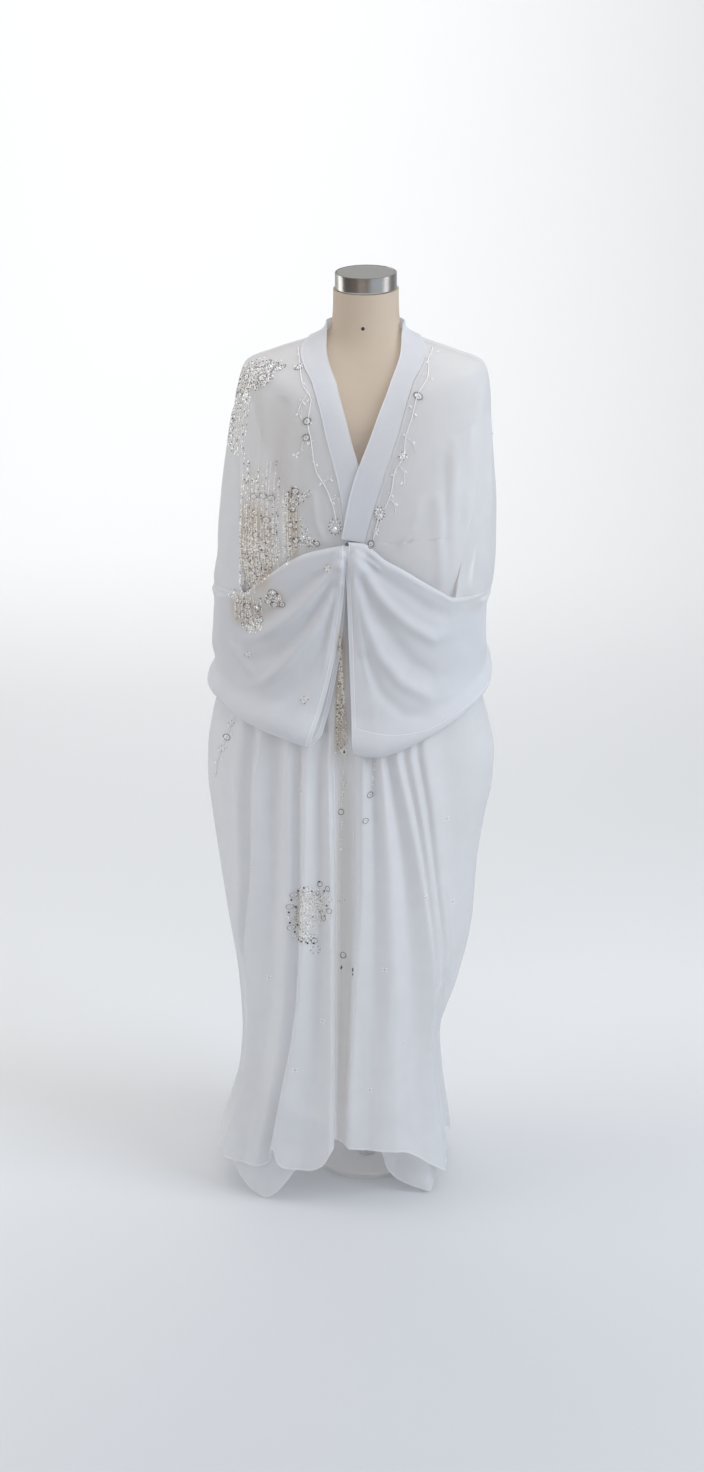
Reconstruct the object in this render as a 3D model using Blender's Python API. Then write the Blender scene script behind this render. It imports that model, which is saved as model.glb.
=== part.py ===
"""A sheer open-front abaya with draped batwing sleeves, worn by a limbless dress form on a stand.

Metres, +Z up. The front faces -Y and +X is the wearer's left. The floor is z = 0.
"""

import math

import bpy
import numpy as np

CLOTH_THICK = 0.0016
BAND_THICK = 0.0020
SEAM_GAP = 0.0010
BAND_EDGE_GAP = 0.0016
# Rough distances from the axis, used to turn a gap into degrees.
FRONT_REACH = 0.16
BAND_REACH = 0.15
SIDE_REACH = 0.20
REST_GAP = 0.0004

# The cloth hangs on rings round the upright axis. Rings near the shoulder tilt, so each has three heights.
RING_COLUMNS = ("level", "side z", "front z", "back z", "right half", "left half", "front", "back", "squareness")
BODY_RINGS = np.array([
    (-1.0, 1.514, 1.492, 1.522, 0.0590, 0.0585, 0.0570, 0.0560, 2.0),
    (0.0, 1.489, 1.458, 1.494, 0.0650, 0.0630, 0.0660, 0.0610, 2.0),
    (1.0, 1.470, 1.420, 1.474, 0.0930, 0.0900, 0.0850, 0.0840, 2.1),
    (2.0, 1.451, 1.385, 1.446, 0.1500, 0.1460, 0.1050, 0.1040, 2.2),
    (3.0, 1.431, 1.350, 1.412, 0.1960, 0.1920, 0.1190, 0.1150, 2.3),
    (4.0, 1.391, 1.310, 1.368, 0.2090, 0.2020, 0.1280, 0.1210, 2.3),
    (5.0, 1.335, 1.270, 1.320, 0.2180, 0.2050, 0.1320, 0.1240, 2.3),
    (6.0, 1.270, 1.225, 1.262, 0.2290, 0.2100, 0.1330, 0.1260, 2.3),
    (7.0, 1.200, 1.180, 1.198, 0.2390, 0.2150, 0.1320, 0.1280, 2.3),
    (8.0, 1.130, 1.130, 1.130, 0.2450, 0.2150, 0.1300, 0.1300, 2.3),
    (9.0, 1.080, 1.080, 1.080, 0.2440, 0.2040, 0.1280, 0.1320, 2.2),
    (10.0, 1.030, 1.030, 1.030, 0.2400, 0.1900, 0.1270, 0.1350, 2.2),
    (11.0, 0.980, 0.980, 0.980, 0.2370, 0.1860, 0.1280, 0.1380, 2.2),
    (12.0, 0.930, 0.930, 0.930, 0.2380, 0.1880, 0.1320, 0.1420, 2.1),
    (13.0, 0.880, 0.880, 0.880, 0.2480, 0.1950, 0.1380, 0.1460, 2.1),
    (14.0, 0.830, 0.830, 0.830, 0.2600, 0.2080, 0.1440, 0.1500, 2.0),
    (15.0, 0.780, 0.780, 0.780, 0.2670, 0.2170, 0.1480, 0.1540, 2.0),
    (16.0, 0.730, 0.730, 0.730, 0.2680, 0.2150, 0.1500, 0.1570, 2.0),
    (17.0, 0.680, 0.680, 0.680, 0.2630, 0.2050, 0.1510, 0.1600, 2.0),
    (19.0, 0.580, 0.580, 0.580, 0.2500, 0.1900, 0.1520, 0.1660, 2.0),
    (21.0, 0.480, 0.480, 0.480, 0.2360, 0.1830, 0.1530, 0.1730, 2.0),
    (23.0, 0.380, 0.380, 0.380, 0.2210, 0.1610, 0.1550, 0.1810, 2.0),
    (25.0, 0.280, 0.280, 0.280, 0.2130, 0.1300, 0.1570, 0.1900, 2.1),
    (26.0, 0.230, 0.230, 0.230, 0.2160, 0.1260, 0.1590, 0.1950, 2.2),
    (27.0, 0.180, 0.180, 0.180, 0.2240, 0.1290, 0.1620, 0.2010, 2.3),
    (28.0, 0.130, 0.130, 0.130, 0.2400, 0.1350, 0.1660, 0.2080, 2.3),
    (29.0, 0.080, 0.080, 0.080, 0.2560, 0.1430, 0.1710, 0.2160, 2.3),
    (30.0, 0.030, 0.030, 0.030, 0.2640, 0.1480, 0.1750, 0.2250, 2.3),
    (31.0, -0.020, -0.020, -0.020, 0.2680, 0.1500, 0.1780, 0.2300, 2.3),
])
LEVEL_AT_WAIST = 8.0
WAIST_Z = 1.130
LEVEL_DROP = 0.05

FORM_RINGS = np.array([
    (0.0, 1.5500, 1.5435, 1.5565, 0.0530, 0.0530, 0.0505, 0.0505, 2.0),
    (1.0, 1.5280, 1.5230, 1.5330, 0.0532, 0.0532, 0.0510, 0.0505, 2.0),
    (2.0, 1.5080, 1.5000, 1.5120, 0.0542, 0.0540, 0.0520, 0.0512, 2.0),
    (3.0, 1.4870, 1.4600, 1.4920, 0.0580, 0.0565, 0.0585, 0.0540, 2.0),
    (7.0, 1.3950, 1.3100, 1.3620, 0.1880, 0.1850, 0.1190, 0.1130, 2.3),
    (8.0, 1.3450, 1.2750, 1.3180, 0.1800, 0.1780, 0.1190, 0.1110, 2.3),
    (9.0, 1.2850, 1.2300, 1.2650, 0.1620, 0.1600, 0.1140, 0.1050, 2.3),
    (10.0, 1.2200, 1.1850, 1.2080, 0.1430, 0.1410, 0.1030, 0.0960, 2.2),
    (11.0, 1.1400, 1.1400, 1.1400, 0.1230, 0.1220, 0.0920, 0.0870, 2.1),
    (12.0, 1.0800, 1.0800, 1.0800, 0.1250, 0.1240, 0.0920, 0.0920, 2.1),
    (13.0, 1.0000, 1.0000, 1.0000, 0.1480, 0.1460, 0.1010, 0.1080, 2.1),
    (14.0, 0.9300, 0.9300, 0.9300, 0.1640, 0.1600, 0.1070, 0.1170, 2.1),
    (15.0, 0.8700, 0.8700, 0.8700, 0.1660, 0.1610, 0.1060, 0.1160, 2.1),
    (16.0, 0.8300, 0.8300, 0.8300, 0.1600, 0.1560, 0.1030, 0.1100, 2.1),
])
FORM_NECK_LEVELS = (0, 1, 2, 2.5, 3)
FORM_BODY_LEVELS = (7, 7.6, 8.2, 9, 10, 11, 12, 13, 14, 15, 16)
FORM_SIDES = 36
# Between neck and chest the cloth rests on the form, so the form follows the cloth's own rings a little inside.
FORM_INSET = 0.0017
FORM_FRONT_EASE = 0.0036
BUST_ANGLE = 36.0
BUST_LEVEL = 8.1
BUST_SWELL = 0.007
BUST_WIDTH = 20.0
BUST_REACH = 0.9

CAP_RADIUS = 0.050
CAP_HEIGHT = 0.026
CAP_CHAMFER = 0.0015
CAP_TILT = math.radians(7.4)
CAP_SIDES = 40
CAP_FOOT_Z = 1.5508
STAND_Y = 0.050
POLE_RADIUS = 0.014
BASE_RADIUS = 0.090
BASE_THICK = 0.010
BASE_CHAMFER = 0.002

# Rows of the panels, as levels on the body rings. The last part of each panel runs evenly down to its own hem.
NECK_LEVEL = 0.95
PANEL_TOP_LEVEL = 1.05
BODICE_LEVELS = (1.5, 2.1, 2.7, 3.25, 4.0, 5.0, 6.0, 6.8, 7.4, 7.55, 8.3, 9.3, 10.0, 10.7)
SKIRT_LEVELS = (12.0, 13.2, 14.2, 15.2, 17.0, 19.0, 21.0, 22.0, 23.0)
HEM_ROWS = 5
FRONT_HEM_LEVEL = 29.2
BACK_HEM_LEVEL = 30.5
FORM_SHOULDER_LEVELS = (1.05, 1.5, 2.1, 2.7, 3.25)
SHOULDER_LEVEL = 3.25
HOOK_LEVEL = 7.4
UNDERARM_LEVEL = 10.7
SLIT_LEVEL = 23.0

# The band's outer edge, where the front panels are sewn to it: level, then the angle from the front.
BAND_KNOTS = (0.95, 2.13, 4.0, 5.94, 7.4)
BAND_OUTER = {"right": (-86.0, -39.0, -22.5, -12.5, -9.5), "left": (85.9, 41.4, 25.3, 12.0, 4.1)}
BAND_INNER = {"right": (-79.0, -22.0, -7.5, 2.0, 1.0), "left": (78.0, 26.5, 9.0, -5.5, -12.0)}
BAND_INNER_LEVEL = (-0.38, 1.65, 3.45, 5.6, 7.3)
BAND_REST_LIFT = 0.0014
BAND_LIFT = {"right": (BAND_REST_LIFT,) * 5, "left": (BAND_REST_LIFT, 0.0020, 0.0040, 0.0046, 0.0046)}
BAND_STRIPS = 3
BACK_NECK_STEPS = 12

# The fold where each sleeve leaves the body, in front and behind: level, then the angle for each side.
ARMHOLE_LEVELS = (3.25, 4.2, 5.5, 6.7, 7.9, 9.3)
ARMHOLE_FRONT = {"right": (-88.5, -75.5, -70.2, -67.6, -67.0, -65.5), "left": (88.5, 75.5, 70.6, 66.0, 60.5, 58.5)}
ARMHOLE_BACK = {"right": (-91.5, -103.0, -108.0, -111.0, -113.0, -115.0), "left": (91.5, 103.0, 108.0, 111.0, 113.0, 115.0)}
CENTRE_LEVELS = (7.55, 10.6, 14.6, 19.0, 24.0, 29.5)
CENTRE_ANGLES = (-8.0, -12.0, -16.2, -14.2, -13.7, -13.2)

# Skirt folds: angle at five heights, then how far each stands out (+) or in (-) at those heights, in millimetres.
FOLD_HEIGHTS = (0.80, 0.60, 0.40, 0.16, 0.05)
RIGHT_FOLDS = (
    ("ridge", (-18.5, -16.8, -16.4, -16.2, -16.2), (9, 9, 9, 9, 9)),
    ("valley", (-24.0, -24.0, -25.0, -28.0, -29.0), (-5, -5, -5, -4, -3)),
    ("ridge", (-31.1, -31.7, -34.5, -42.3, -44.5), (9, 10, 12, 15, 16)),
    ("valley", (-36.0, -36.4, -38.7, -45.5, -47.5), (-4, -5, -7, -8, -8)),
    ("ridge", (-41.4, -41.0, -44.5, -51.0, -53.0), (7, 6, 4, 2, 2)),
    ("valley", (-48.0, -48.5, -53.0, -59.0, -59.0), (-6, -6, -5, -4, -4)),
    ("ridge", (-54.5, -57.5, -67.0, -69.0, -67.0), (9, 9, 9, 8, 8)),
    ("valley", (-59.5, -62.0, -71.0, -74.0, -73.0), (-5, -5, -4, -3, -3)),
    ("ridge", (-64.0, -66.0, -75.0, -79.0, -79.0), (7, 6, 4, 2, 2)),
    ("valley", (-71.0, -73.0, -81.0, -84.0, -84.0), (-6, -5, -3, -2, -2)),
)
LEFT_FOLDS = (
    ("valley", (-8.0, -8.0, -8.5, -10.2, -10.0), (-7, -7, -7, -5, -4)),
    ("ridge", (1.4, -0.9, -3.2, -7.0, -7.4), (9, 9, 9, 8, 7)),
    ("valley", (7.5, 9.0, 9.0, 7.0, 6.0), (-4, -4, -4, -3, -3)),
    ("ridge", (13.7, 19.2, 21.9, 22.5, 22.5), (8, 8, 8, 7, 7)),
    ("valley", (19.0, 29.0, 35.0, 42.0, 43.0), (-5, -5, -5, -4, -4)),
    ("ridge", (24.2, 38.0, 48.5, 61.0, 63.0), (8, 9, 9, 8, 8)),
    ("valley", (28.5, 41.0, 51.5, 64.5, 66.5), (-3, -3, -3, -2, -2)),
    ("ridge", (32.5, 44.0, 54.5, 68.0, 70.0), (7, 6, 4, 3, 2)),
    ("valley", (36.5, 47.0, 58.0, 71.5, 73.5), (-3, -3, -2, -2, -2)),
    ("ridge", (40.5, 50.5, 62.0, 75.0, 77.0), (7, 7, 6, 4, 3)),
    ("valley", (52.0, 60.0, 69.0, 79.0, 81.0), (-6, -5, -4, -3, -2)),
    ("ridge", (70.0, 75.0, 80.0, 84.5, 85.5), (3, 3, 2, 1, 1)),
)
FOLD_START_Z = 0.93
FOLD_FULL_Z = 0.79
FOLD_BLEND_Z = 1.00
COLUMNS_PER_FOLD = 2

RIGHT_HEM = ((-90.0, -80.0, -74.0, -60.0, -50.0, -42.5, -38.0, -28.0, -20.0, -13.0),
             (0.100, 0.068, 0.060, 0.060, 0.066, 0.082, 0.073, 0.077, 0.081, 0.118))
LEFT_HEM = ((-13.5, -4.0, 10.0, 25.0, 40.0, 55.0, 66.0, 78.0, 90.0),
            (0.132, 0.118, 0.113, 0.108, 0.085, 0.052, 0.034, 0.040, 0.062))
# Behind, angles run on past 180 to the wearer's right. The two end corners turn forward onto the floor.
BACK_HEM = ((16.0, 26.0, 36.0, 43.0, 53.0, 63.0, 76.0, 90.0, 120.0, 150.0, 180.0, 210.0, 240.0, 270.0, 288.0,
             300.0, 308.0, 314.0, 321.0, 329.0),
            (0.105, 0.070, 0.024, 0.004, 0.004, 0.018, 0.055, 0.080, 0.045, 0.022, 0.012, 0.018, 0.045, 0.090, 0.060,
             0.018, 0.005, 0.006, 0.042, 0.080))
BACK_EDGE_HEIGHTS = (0.38, 0.32, 0.25, 0.18, 0.11, 0.00)
BACK_EDGE_TURN = {"left": (0.0, 9.0, 30.0, 55.0, 73.0, 74.0), "right": (0.0, 7.0, 22.0, 42.0, 57.0, 59.0)}
BACK_TUCK = 0.0145
BACK_CURL = {"left": 0.050, "right": 0.004}
BACK_FOLDS = 12
BACK_COLUMNS = 41
BACK_FOLD_DEPTH = 0.009

# Each sleeve, from the cuff at the centre front round the elbow to the back: angle and height of its top fold
# and of its bottom fold, how far the cloth swells at the bottom, and whether the top is closed by a fold there.
SLEEVE_COLUMNS = ("top angle", "top z", "bottom angle", "bottom z", "swell")
RIGHT_SLEEVE = (
    (-9.2, 1.146, -28.5, 0.820, 0.016),
    (-17.0, 1.149, -34.0, 0.824, 0.020),
    (-25.4, 1.147, -40.0, 0.829, 0.023),
    (-34.0, 1.141, -47.0, 0.836, 0.023),
    (-44.6, 1.123, -53.0, 0.842, 0.021),
    (-55.0, 1.096, -59.5, 0.851, 0.018),
    (-65.4, 1.066, -66.0, 0.863, 0.014),
    (-74.0, 1.066, -73.0, 0.875, 0.010),
    (-84.0, 1.066, -82.0, 0.886, 0.008),
    (-95.0, 1.066, -93.0, 0.905, 0.007),
    (-105.0, 1.066, -104.0, 0.930, 0.007),
    (-114.8, 1.066, -113.0, 0.960, 0.007),
)
LEFT_SLEEVE = (
    (-6.6, 1.144, -2.6, 0.814, 0.018),
    (3.0, 1.145, 6.0, 0.809, 0.023),
    (10.0, 1.141, 13.0, 0.809, 0.026),
    (18.5, 1.132, 22.0, 0.815, 0.026),
    (28.0, 1.119, 31.0, 0.825, 0.024),
    (42.0, 1.094, 41.0, 0.838, 0.021),
    (50.5, 1.078, 51.0, 0.852, 0.017),
    (58.4, 1.066, 62.0, 0.870, 0.013),
    (70.0, 1.066, 73.0, 0.887, 0.010),
    (82.0, 1.066, 84.0, 0.905, 0.008),
    (94.0, 1.066, 95.0, 0.930, 0.007),
    (105.0, 1.066, 105.0, 0.950, 0.007),
    (114.8, 1.066, 114.0, 0.972, 0.007),
)
ELBOW_COLUMN = {"right": 6, "left": 7}
SLEEVE_STEPS = 2
SLEEVE_LEVEL = 9.28
SLEEVE_FREE_DROP = 0.036
CUFF_SLANT = 4.5
OUTER_STOPS = (0.0, 0.02, 0.06, 0.15, 0.26, 0.38, 0.50, 0.62, 0.74, 0.85, 0.93, 0.975)
INNER_STOPS = (1.0, 0.95, 0.82, 0.62, 0.40, 0.20, 0.07, 0.02)
TOP_ROUND = 0.06
BOTTOM_ROUND = 0.12
INNER_GAP = 0.0052
TOP_SWELL = 0.0040
BOTTOM_SWELL = 0.0120
LAYER_GAP = 0.009
LAYER_GAP_BELOW = 0.007
# Folds that fan out from the hook over each sleeve: points as (angle, height), stand-out in metres, half width.
SLEEVE_FOLDS = {
    "right": (
        (((-11.0, 1.115), (-32.0, 1.052), (-44.0, 1.023), (-61.0, 0.990), (-74.0, 0.985)), 0.0070, 0.016),
        (((-20.0, 1.075), (-36.0, 1.005), (-50.0, 0.965), (-66.0, 0.945)), -0.0045, 0.016),
        (((-17.0, 1.050), (-27.0, 1.000), (-42.0, 0.952), (-55.0, 0.922), (-70.0, 0.935)), 0.0065, 0.016),
        (((-24.0, 0.955), (-38.0, 0.905), (-52.0, 0.885), (-68.0, 0.900)), -0.0040, 0.016),
    ),
    "left": (
        (((-2.7, 1.125), (19.0, 1.079), (39.0, 1.009), (49.0, 0.985), (67.0, 1.018)), 0.0075, 0.016),
        (((12.0, 1.060), (28.0, 1.000), (42.0, 0.955), (60.0, 0.955)), -0.0050, 0.017),
        (((3.0, 1.070), (23.0, 0.979), (35.0, 0.934), (45.0, 0.913), (54.0, 0.902), (66.0, 0.920)), 0.0065, 0.016),
        (((6.0, 0.930), (24.0, 0.880), (42.0, 0.868), (60.0, 0.895)), -0.0040, 0.016),
    ),
}
ARC_PER_DEGREE = 0.0027

SNAP_ANGLE = -8.4
SNAP_LEVEL = 7.36
SNAP_RADIUS = 0.0035
SNAP_CROWN = 0.0021
SNAP_ROUND = 0.0008
SNAP_THICK = 0.0022
SNAP_LIFT = 0.0062
SNAP_SIDES = 16

COLOURS = {
    # name: base colour, metallic, roughness
    "chiffon_white": ((0.80, 0.81, 0.86), 0.0, 0.75),
    "band_white": ((0.84, 0.85, 0.90), 0.0, 0.70),
    "form_beige": ((0.47, 0.38, 0.28), 0.0, 0.85),
    "cap_steel": ((0.45, 0.45, 0.45), 1.0, 0.35),
    "stand_white": ((0.80, 0.80, 0.80), 0.0, 0.45),
    "snap_metal": ((0.30, 0.32, 0.36), 1.0, 0.25),
}


def smooth_between(xs, ys, x):
    """A curve through the knots that never overshoots them."""
    xs = np.asarray(xs, float)
    ys = np.asarray(ys, float)
    x = np.clip(np.asarray(x, float), xs[0], xs[-1])
    steps = np.diff(xs)
    slopes = np.diff(ys) / steps
    before, after = slopes[:-1], slopes[1:]
    total = before + after
    mean = 2 * before * after / np.where(total == 0, 1, total)
    tangents = np.concatenate([slopes[:1], np.where(before * after > 0, mean, 0), slopes[-1:]])
    i = np.clip(np.searchsorted(xs, x, side="right") - 1, 0, len(xs) - 2)
    t = (x - xs[i]) / steps[i]
    start = (2 * t**3 - 3 * t**2 + 1) * ys[i] + (t**3 - 2 * t**2 + t) * steps[i] * tangents[i]
    end = (3 * t**2 - 2 * t**3) * ys[i + 1] + (t**3 - t**2) * steps[i] * tangents[i + 1]
    return start + end


def ramp(x, low, high):
    """0 at low, 1 at high, eased between; low may be the larger."""
    t = np.clip((np.asarray(x, float) - low) / (high - low), 0, 1)
    return t * t * (3 - 2 * t)


def ring_point(rings, angle, level):
    """The point at an angle from the front (plus toward the wearer's left) and a level on a set of rings."""
    angle, level = np.broadcast_arrays(np.asarray(angle, float), np.asarray(level, float))
    columns = [smooth_between(rings[:, 0], rings[:, i], level) for i in range(1, len(RING_COLUMNS))]
    side_z, front_z, back_z, right, left, front, back, square = columns
    s, c = np.sin(np.radians(angle)), np.cos(np.radians(angle))
    half = np.where(s > 0, left, right)
    depth = np.where(c > 0, front, back)
    radius = ((np.abs(s) / half) ** square + (np.abs(c) / depth) ** square) ** (-1 / square)
    z = side_z + (np.where(c > 0, front_z, back_z) - side_z) * c**2
    return np.stack([radius * s, -radius * c, z], axis=-1)


def ring_normal(rings, angle, level):
    """The outward direction there."""
    angle, level = np.broadcast_arrays(np.asarray(angle, float), np.asarray(level, float))
    across = ring_point(rings, angle + 0.5, level) - ring_point(rings, angle - 0.5, level)
    down = ring_point(rings, angle, level + 0.05) - ring_point(rings, angle, level - 0.05)
    normal = np.cross(down, across)
    normal /= np.linalg.norm(normal, axis=-1, keepdims=True)
    turn = np.radians(angle)
    outward = normal[..., 0] * np.sin(turn) - normal[..., 1] * np.cos(turn)
    return normal * np.where(outward < 0, -1.0, 1.0)[..., None]


def cloth_point(angle, level, lift):
    """A point of the cloth, lifted off the body rings."""
    angle, level, lift = np.broadcast_arrays(angle, level, lift)
    return ring_point(BODY_RINGS, angle, level) + ring_normal(BODY_RINGS, angle, level) * lift[..., None]


def level_at(angle, z):
    """The level whose ring passes through a height at this angle."""
    angle, z = np.broadcast_arrays(np.asarray(angle, float), np.asarray(z, float))
    low = np.full(angle.shape, BODY_RINGS[0, 0])
    high = np.full(angle.shape, BODY_RINGS[-1, 0])
    for _ in range(30):
        middle = (low + high) / 2
        above = ring_point(BODY_RINGS, angle, middle)[..., 2] > z
        low = np.where(above, middle, low)
        high = np.where(above, high, middle)
    return (low + high) / 2


def height_of(level):
    return WAIST_Z - (np.asarray(level, float) - LEVEL_AT_WAIST) * LEVEL_DROP


class Sheet:
    """A cloth surface made of grids whose shared edges are joined, then given a wall."""

    def __init__(self):
        self.points = []
        self.faces = []
        self.index = {}

    def place(self, point):
        key = tuple(int(round(value * 1e6)) for value in point)
        if key not in self.index:
            self.index[key] = len(self.points)
            self.points.append(tuple(float(value) for value in point))
        return self.index[key]

    def add_grid(self, grid):
        """Rows run downward and columns toward the wearer's left, seen from outside."""
        rows, columns = grid.shape[:2]
        ids = [[self.place(grid[r, c]) for c in range(columns)] for r in range(rows)]
        for r in range(rows - 1):
            for c in range(columns - 1):
                corners = (ids[r][c], ids[r + 1][c], ids[r + 1][c + 1], ids[r][c + 1])
                for triangle in ((corners[0], corners[1], corners[2]), (corners[0], corners[2], corners[3])):
                    if len(set(triangle)) == 3:
                        self.faces.append(triangle)

    def thicken(self, thickness):
        points = np.array(self.points)
        faces = np.array(self.faces)
        corners = points[faces]
        face_normals = np.cross(corners[:, 1] - corners[:, 0], corners[:, 2] - corners[:, 0])
        normals = np.zeros_like(points)
        for i in range(3):
            np.add.at(normals, faces[:, i], face_normals)
        normals /= np.linalg.norm(normals, axis=1, keepdims=True)
        count = len(points)
        both = np.concatenate([points + normals * thickness / 2, points - normals * thickness / 2])
        sides = {}
        for a, b, c in self.faces:
            for start, end in ((a, b), (b, c), (c, a)):
                sides[(start, end)] = True
        walls = [tuple(face) for face in self.faces]
        walls += [(c + count, b + count, a + count) for a, b, c in self.faces]
        for start, end in sides:
            if (end, start) not in sides:
                walls.append((end, start, start + count))
                walls.append((end, start + count, end + count))
        return both, walls


def add_object(name, points, faces, colour):
    mesh = bpy.data.meshes.new(name)
    mesh.from_pydata([tuple(point) for point in np.asarray(points)], [], [tuple(face) for face in faces])
    mesh.update()
    base_colour, metallic, roughness = COLOURS[colour]
    material = bpy.data.materials.get(colour) or bpy.data.materials.new(colour)
    material.use_nodes = True
    shader = material.node_tree.nodes["Principled BSDF"]
    shader.inputs["Base Color"].default_value = (*base_colour, 1.0)
    shader.inputs["Metallic"].default_value = metallic
    shader.inputs["Roughness"].default_value = roughness
    mesh.materials.append(material)
    obj = bpy.data.objects.new(name, mesh)
    bpy.context.scene.collection.objects.link(obj)
    return obj


def add_sheet(name, sheet, colour, thickness=CLOTH_THICK):
    points, faces = sheet.thicken(thickness)
    return add_object(name, points, faces, colour)


def stacked_rings(rings, bottom_centre, top_centre):
    """Closed skin over rings given from the top down, with a flat fan at each end."""
    count = len(rings[0])
    points = [point for ring in rings for point in ring] + [top_centre, bottom_centre]
    top, bottom = len(points) - 2, len(points) - 1
    faces = []
    for r in range(len(rings) - 1):
        for c in range(count):
            here, there = r * count + c, r * count + (c + 1) % count
            faces.append((here, here + count, there + count))
            faces.append((here, there + count, there))
    last = (len(rings) - 1) * count
    for c in range(count):
        after = (c + 1) % count
        faces.append((top, c, after))
        faces.append((bottom, last + after, last + c))
    return points, faces


def build_form():
    """The padded torso: neck, shoulders, bust, waist and hips, closed below by a flat board."""
    angles = np.arange(FORM_SIDES) * 360.0 / FORM_SIDES
    across = np.minimum(np.abs(angles - BUST_ANGLE), np.abs(360 - BUST_ANGLE - angles))
    rings = [ring_point(FORM_RINGS, angles, level) for level in FORM_NECK_LEVELS]
    rings[0][:, 2] = FORM_RINGS[0, 1] + rings[0][:, 1] * math.tan(CAP_TILT)
    inset = FORM_INSET + FORM_FRONT_EASE * ramp(np.minimum(angles, 360 - angles), 102, 80)
    rings += [cloth_point(angles, level, -inset) for level in FORM_SHOULDER_LEVELS]
    for level in FORM_BODY_LEVELS:
        swell = BUST_SWELL * np.exp(-((across / BUST_WIDTH) ** 2) - ((level - BUST_LEVEL) / BUST_REACH) ** 2)
        points = ring_point(FORM_RINGS, angles, level)
        rings.append(points + ring_normal(FORM_RINGS, angles, level) * swell[:, None])
    top = rings[0].mean(axis=0)
    bottom = rings[-1].mean(axis=0)
    points, faces = stacked_rings(rings, bottom, top)
    add_object("form_torso", points, faces, "form_beige")


def turned(profile, sides, centre, tilt=0.0):
    """A turned solid from (radius, height) pairs given from the top down, tipped forward by tilt."""
    turns = np.arange(sides) * 2 * math.pi / sides
    rings = []
    for radius, height in profile:
        ring = np.stack([radius * np.sin(turns), -radius * np.cos(turns), np.full(sides, height)], axis=-1)
        rings.append(ring)
    ends = [np.array([[0, 0, profile[-1][1]]]), np.array([[0, 0, profile[0][1]]])]
    tipped = []
    for ring in rings + ends:
        y, z = ring[:, 1].copy(), ring[:, 2].copy()
        ring[:, 1] = y * math.cos(tilt) - z * math.sin(tilt)
        ring[:, 2] = y * math.sin(tilt) + z * math.cos(tilt)
        tipped.append(ring + np.asarray(centre))
    return stacked_rings(tipped[:-2], tipped[-2][0], tipped[-1][0])


def build_stand():
    cap = ((CAP_RADIUS - CAP_CHAMFER, CAP_HEIGHT), (CAP_RADIUS, CAP_HEIGHT - CAP_CHAMFER), (CAP_RADIUS, 0.0))
    points, faces = turned(cap, CAP_SIDES, (0, 0, CAP_FOOT_Z), CAP_TILT)
    add_object("neck_cap", points, faces, "cap_steel")
    pole_top = FORM_RINGS[-1, 1] - REST_GAP
    points, faces = turned(((POLE_RADIUS, pole_top), (POLE_RADIUS, BASE_THICK + REST_GAP)), 24, (0, STAND_Y, 0))
    add_object("stand_pole", points, faces, "stand_white")
    base = ((BASE_RADIUS - BASE_CHAMFER, BASE_THICK), (BASE_RADIUS, BASE_THICK - BASE_CHAMFER), (BASE_RADIUS, 0.0))
    points, faces = turned(base, 48, (0, STAND_Y, 0))
    add_object("stand_base", points, faces, "stand_white")


def side_edge(side, level, table):
    """The angle of a panel's side edge: the shoulder seam, the armhole fold, then the side seam below the arm."""
    sign = -1.0 if side == "right" else 1.0
    level = np.asarray(level, float)
    armhole = smooth_between(ARMHOLE_LEVELS, table[side], level)
    lowest = table[side][-1]
    closing = lowest + (sign * 90.0 - lowest) * ramp(level, ARMHOLE_LEVELS[-1], UNDERARM_LEVEL)
    angle = np.where(level > ARMHOLE_LEVELS[-1], closing, armhole)
    return np.where(level < SHOULDER_LEVEL, sign * 90.0, angle)


def centre_edge(side, level):
    """The angle of a front panel's inner edge: along the band, then down the centre front."""
    level = np.asarray(level, float)
    band = smooth_between(BAND_KNOTS, BAND_OUTER[side], level)
    centre = smooth_between(CENTRE_LEVELS, CENTRE_ANGLES, level)
    return np.where(level > HOOK_LEVEL + 0.01, centre, band)


def fold_state(folds, z):
    """Angles and stand-out of every fold of a panel at one height."""
    heights = FOLD_HEIGHTS[::-1]
    angles = [float(smooth_between(heights, places[::-1], z)) for _, places, _ in folds]
    depths = [float(smooth_between(heights, tuple(out[::-1]), z)) / 1000 for _, _, out in folds]
    strength = float(ramp(z, FOLD_START_Z, FOLD_FULL_Z))
    return np.array(angles), np.array(depths) * strength


def front_columns(side, level):
    """Angles and lifts of the columns of a front panel at one level, from its side edge to the centre or back."""
    folds = RIGHT_FOLDS if side == "right" else LEFT_FOLDS
    gap = math.degrees(SEAM_GAP / FRONT_REACH) / 2
    inner_gap = math.degrees(BAND_EDGE_GAP / BAND_REACH) if level <= HOOK_LEVEL else gap
    toward = -1.0 if side == "right" else 1.0
    z = float(height_of(level)) if level > LEVEL_AT_WAIST else WAIST_Z
    inner = float(centre_edge(side, level)) + toward * inner_gap
    outer = float(side_edge(side, level, ARMHOLE_FRONT)) - toward * gap
    angles, depths = fold_state(folds, z)
    share = np.linspace(0, 1, len(folds) + 2)
    even = inner + (outer - inner) * share
    knots = np.concatenate([[inner], angles, [outer]])
    lifts = np.concatenate([[0.0], depths, [0.0]])
    blend = float(ramp(z, FOLD_BLEND_Z, FOLD_FULL_Z + 0.04))
    knots = even + (knots - even) * blend
    places = np.arange((len(knots) - 1) * COLUMNS_PER_FOLD + 1) / COLUMNS_PER_FOLD
    columns = np.interp(places, np.arange(len(knots)), knots)
    low = np.floor(places).astype(int).clip(0, len(knots) - 2)
    eased = ramp(places - low, 0, 1)
    return columns, lifts[low] + (lifts[low + 1] - lifts[low]) * eased


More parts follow.
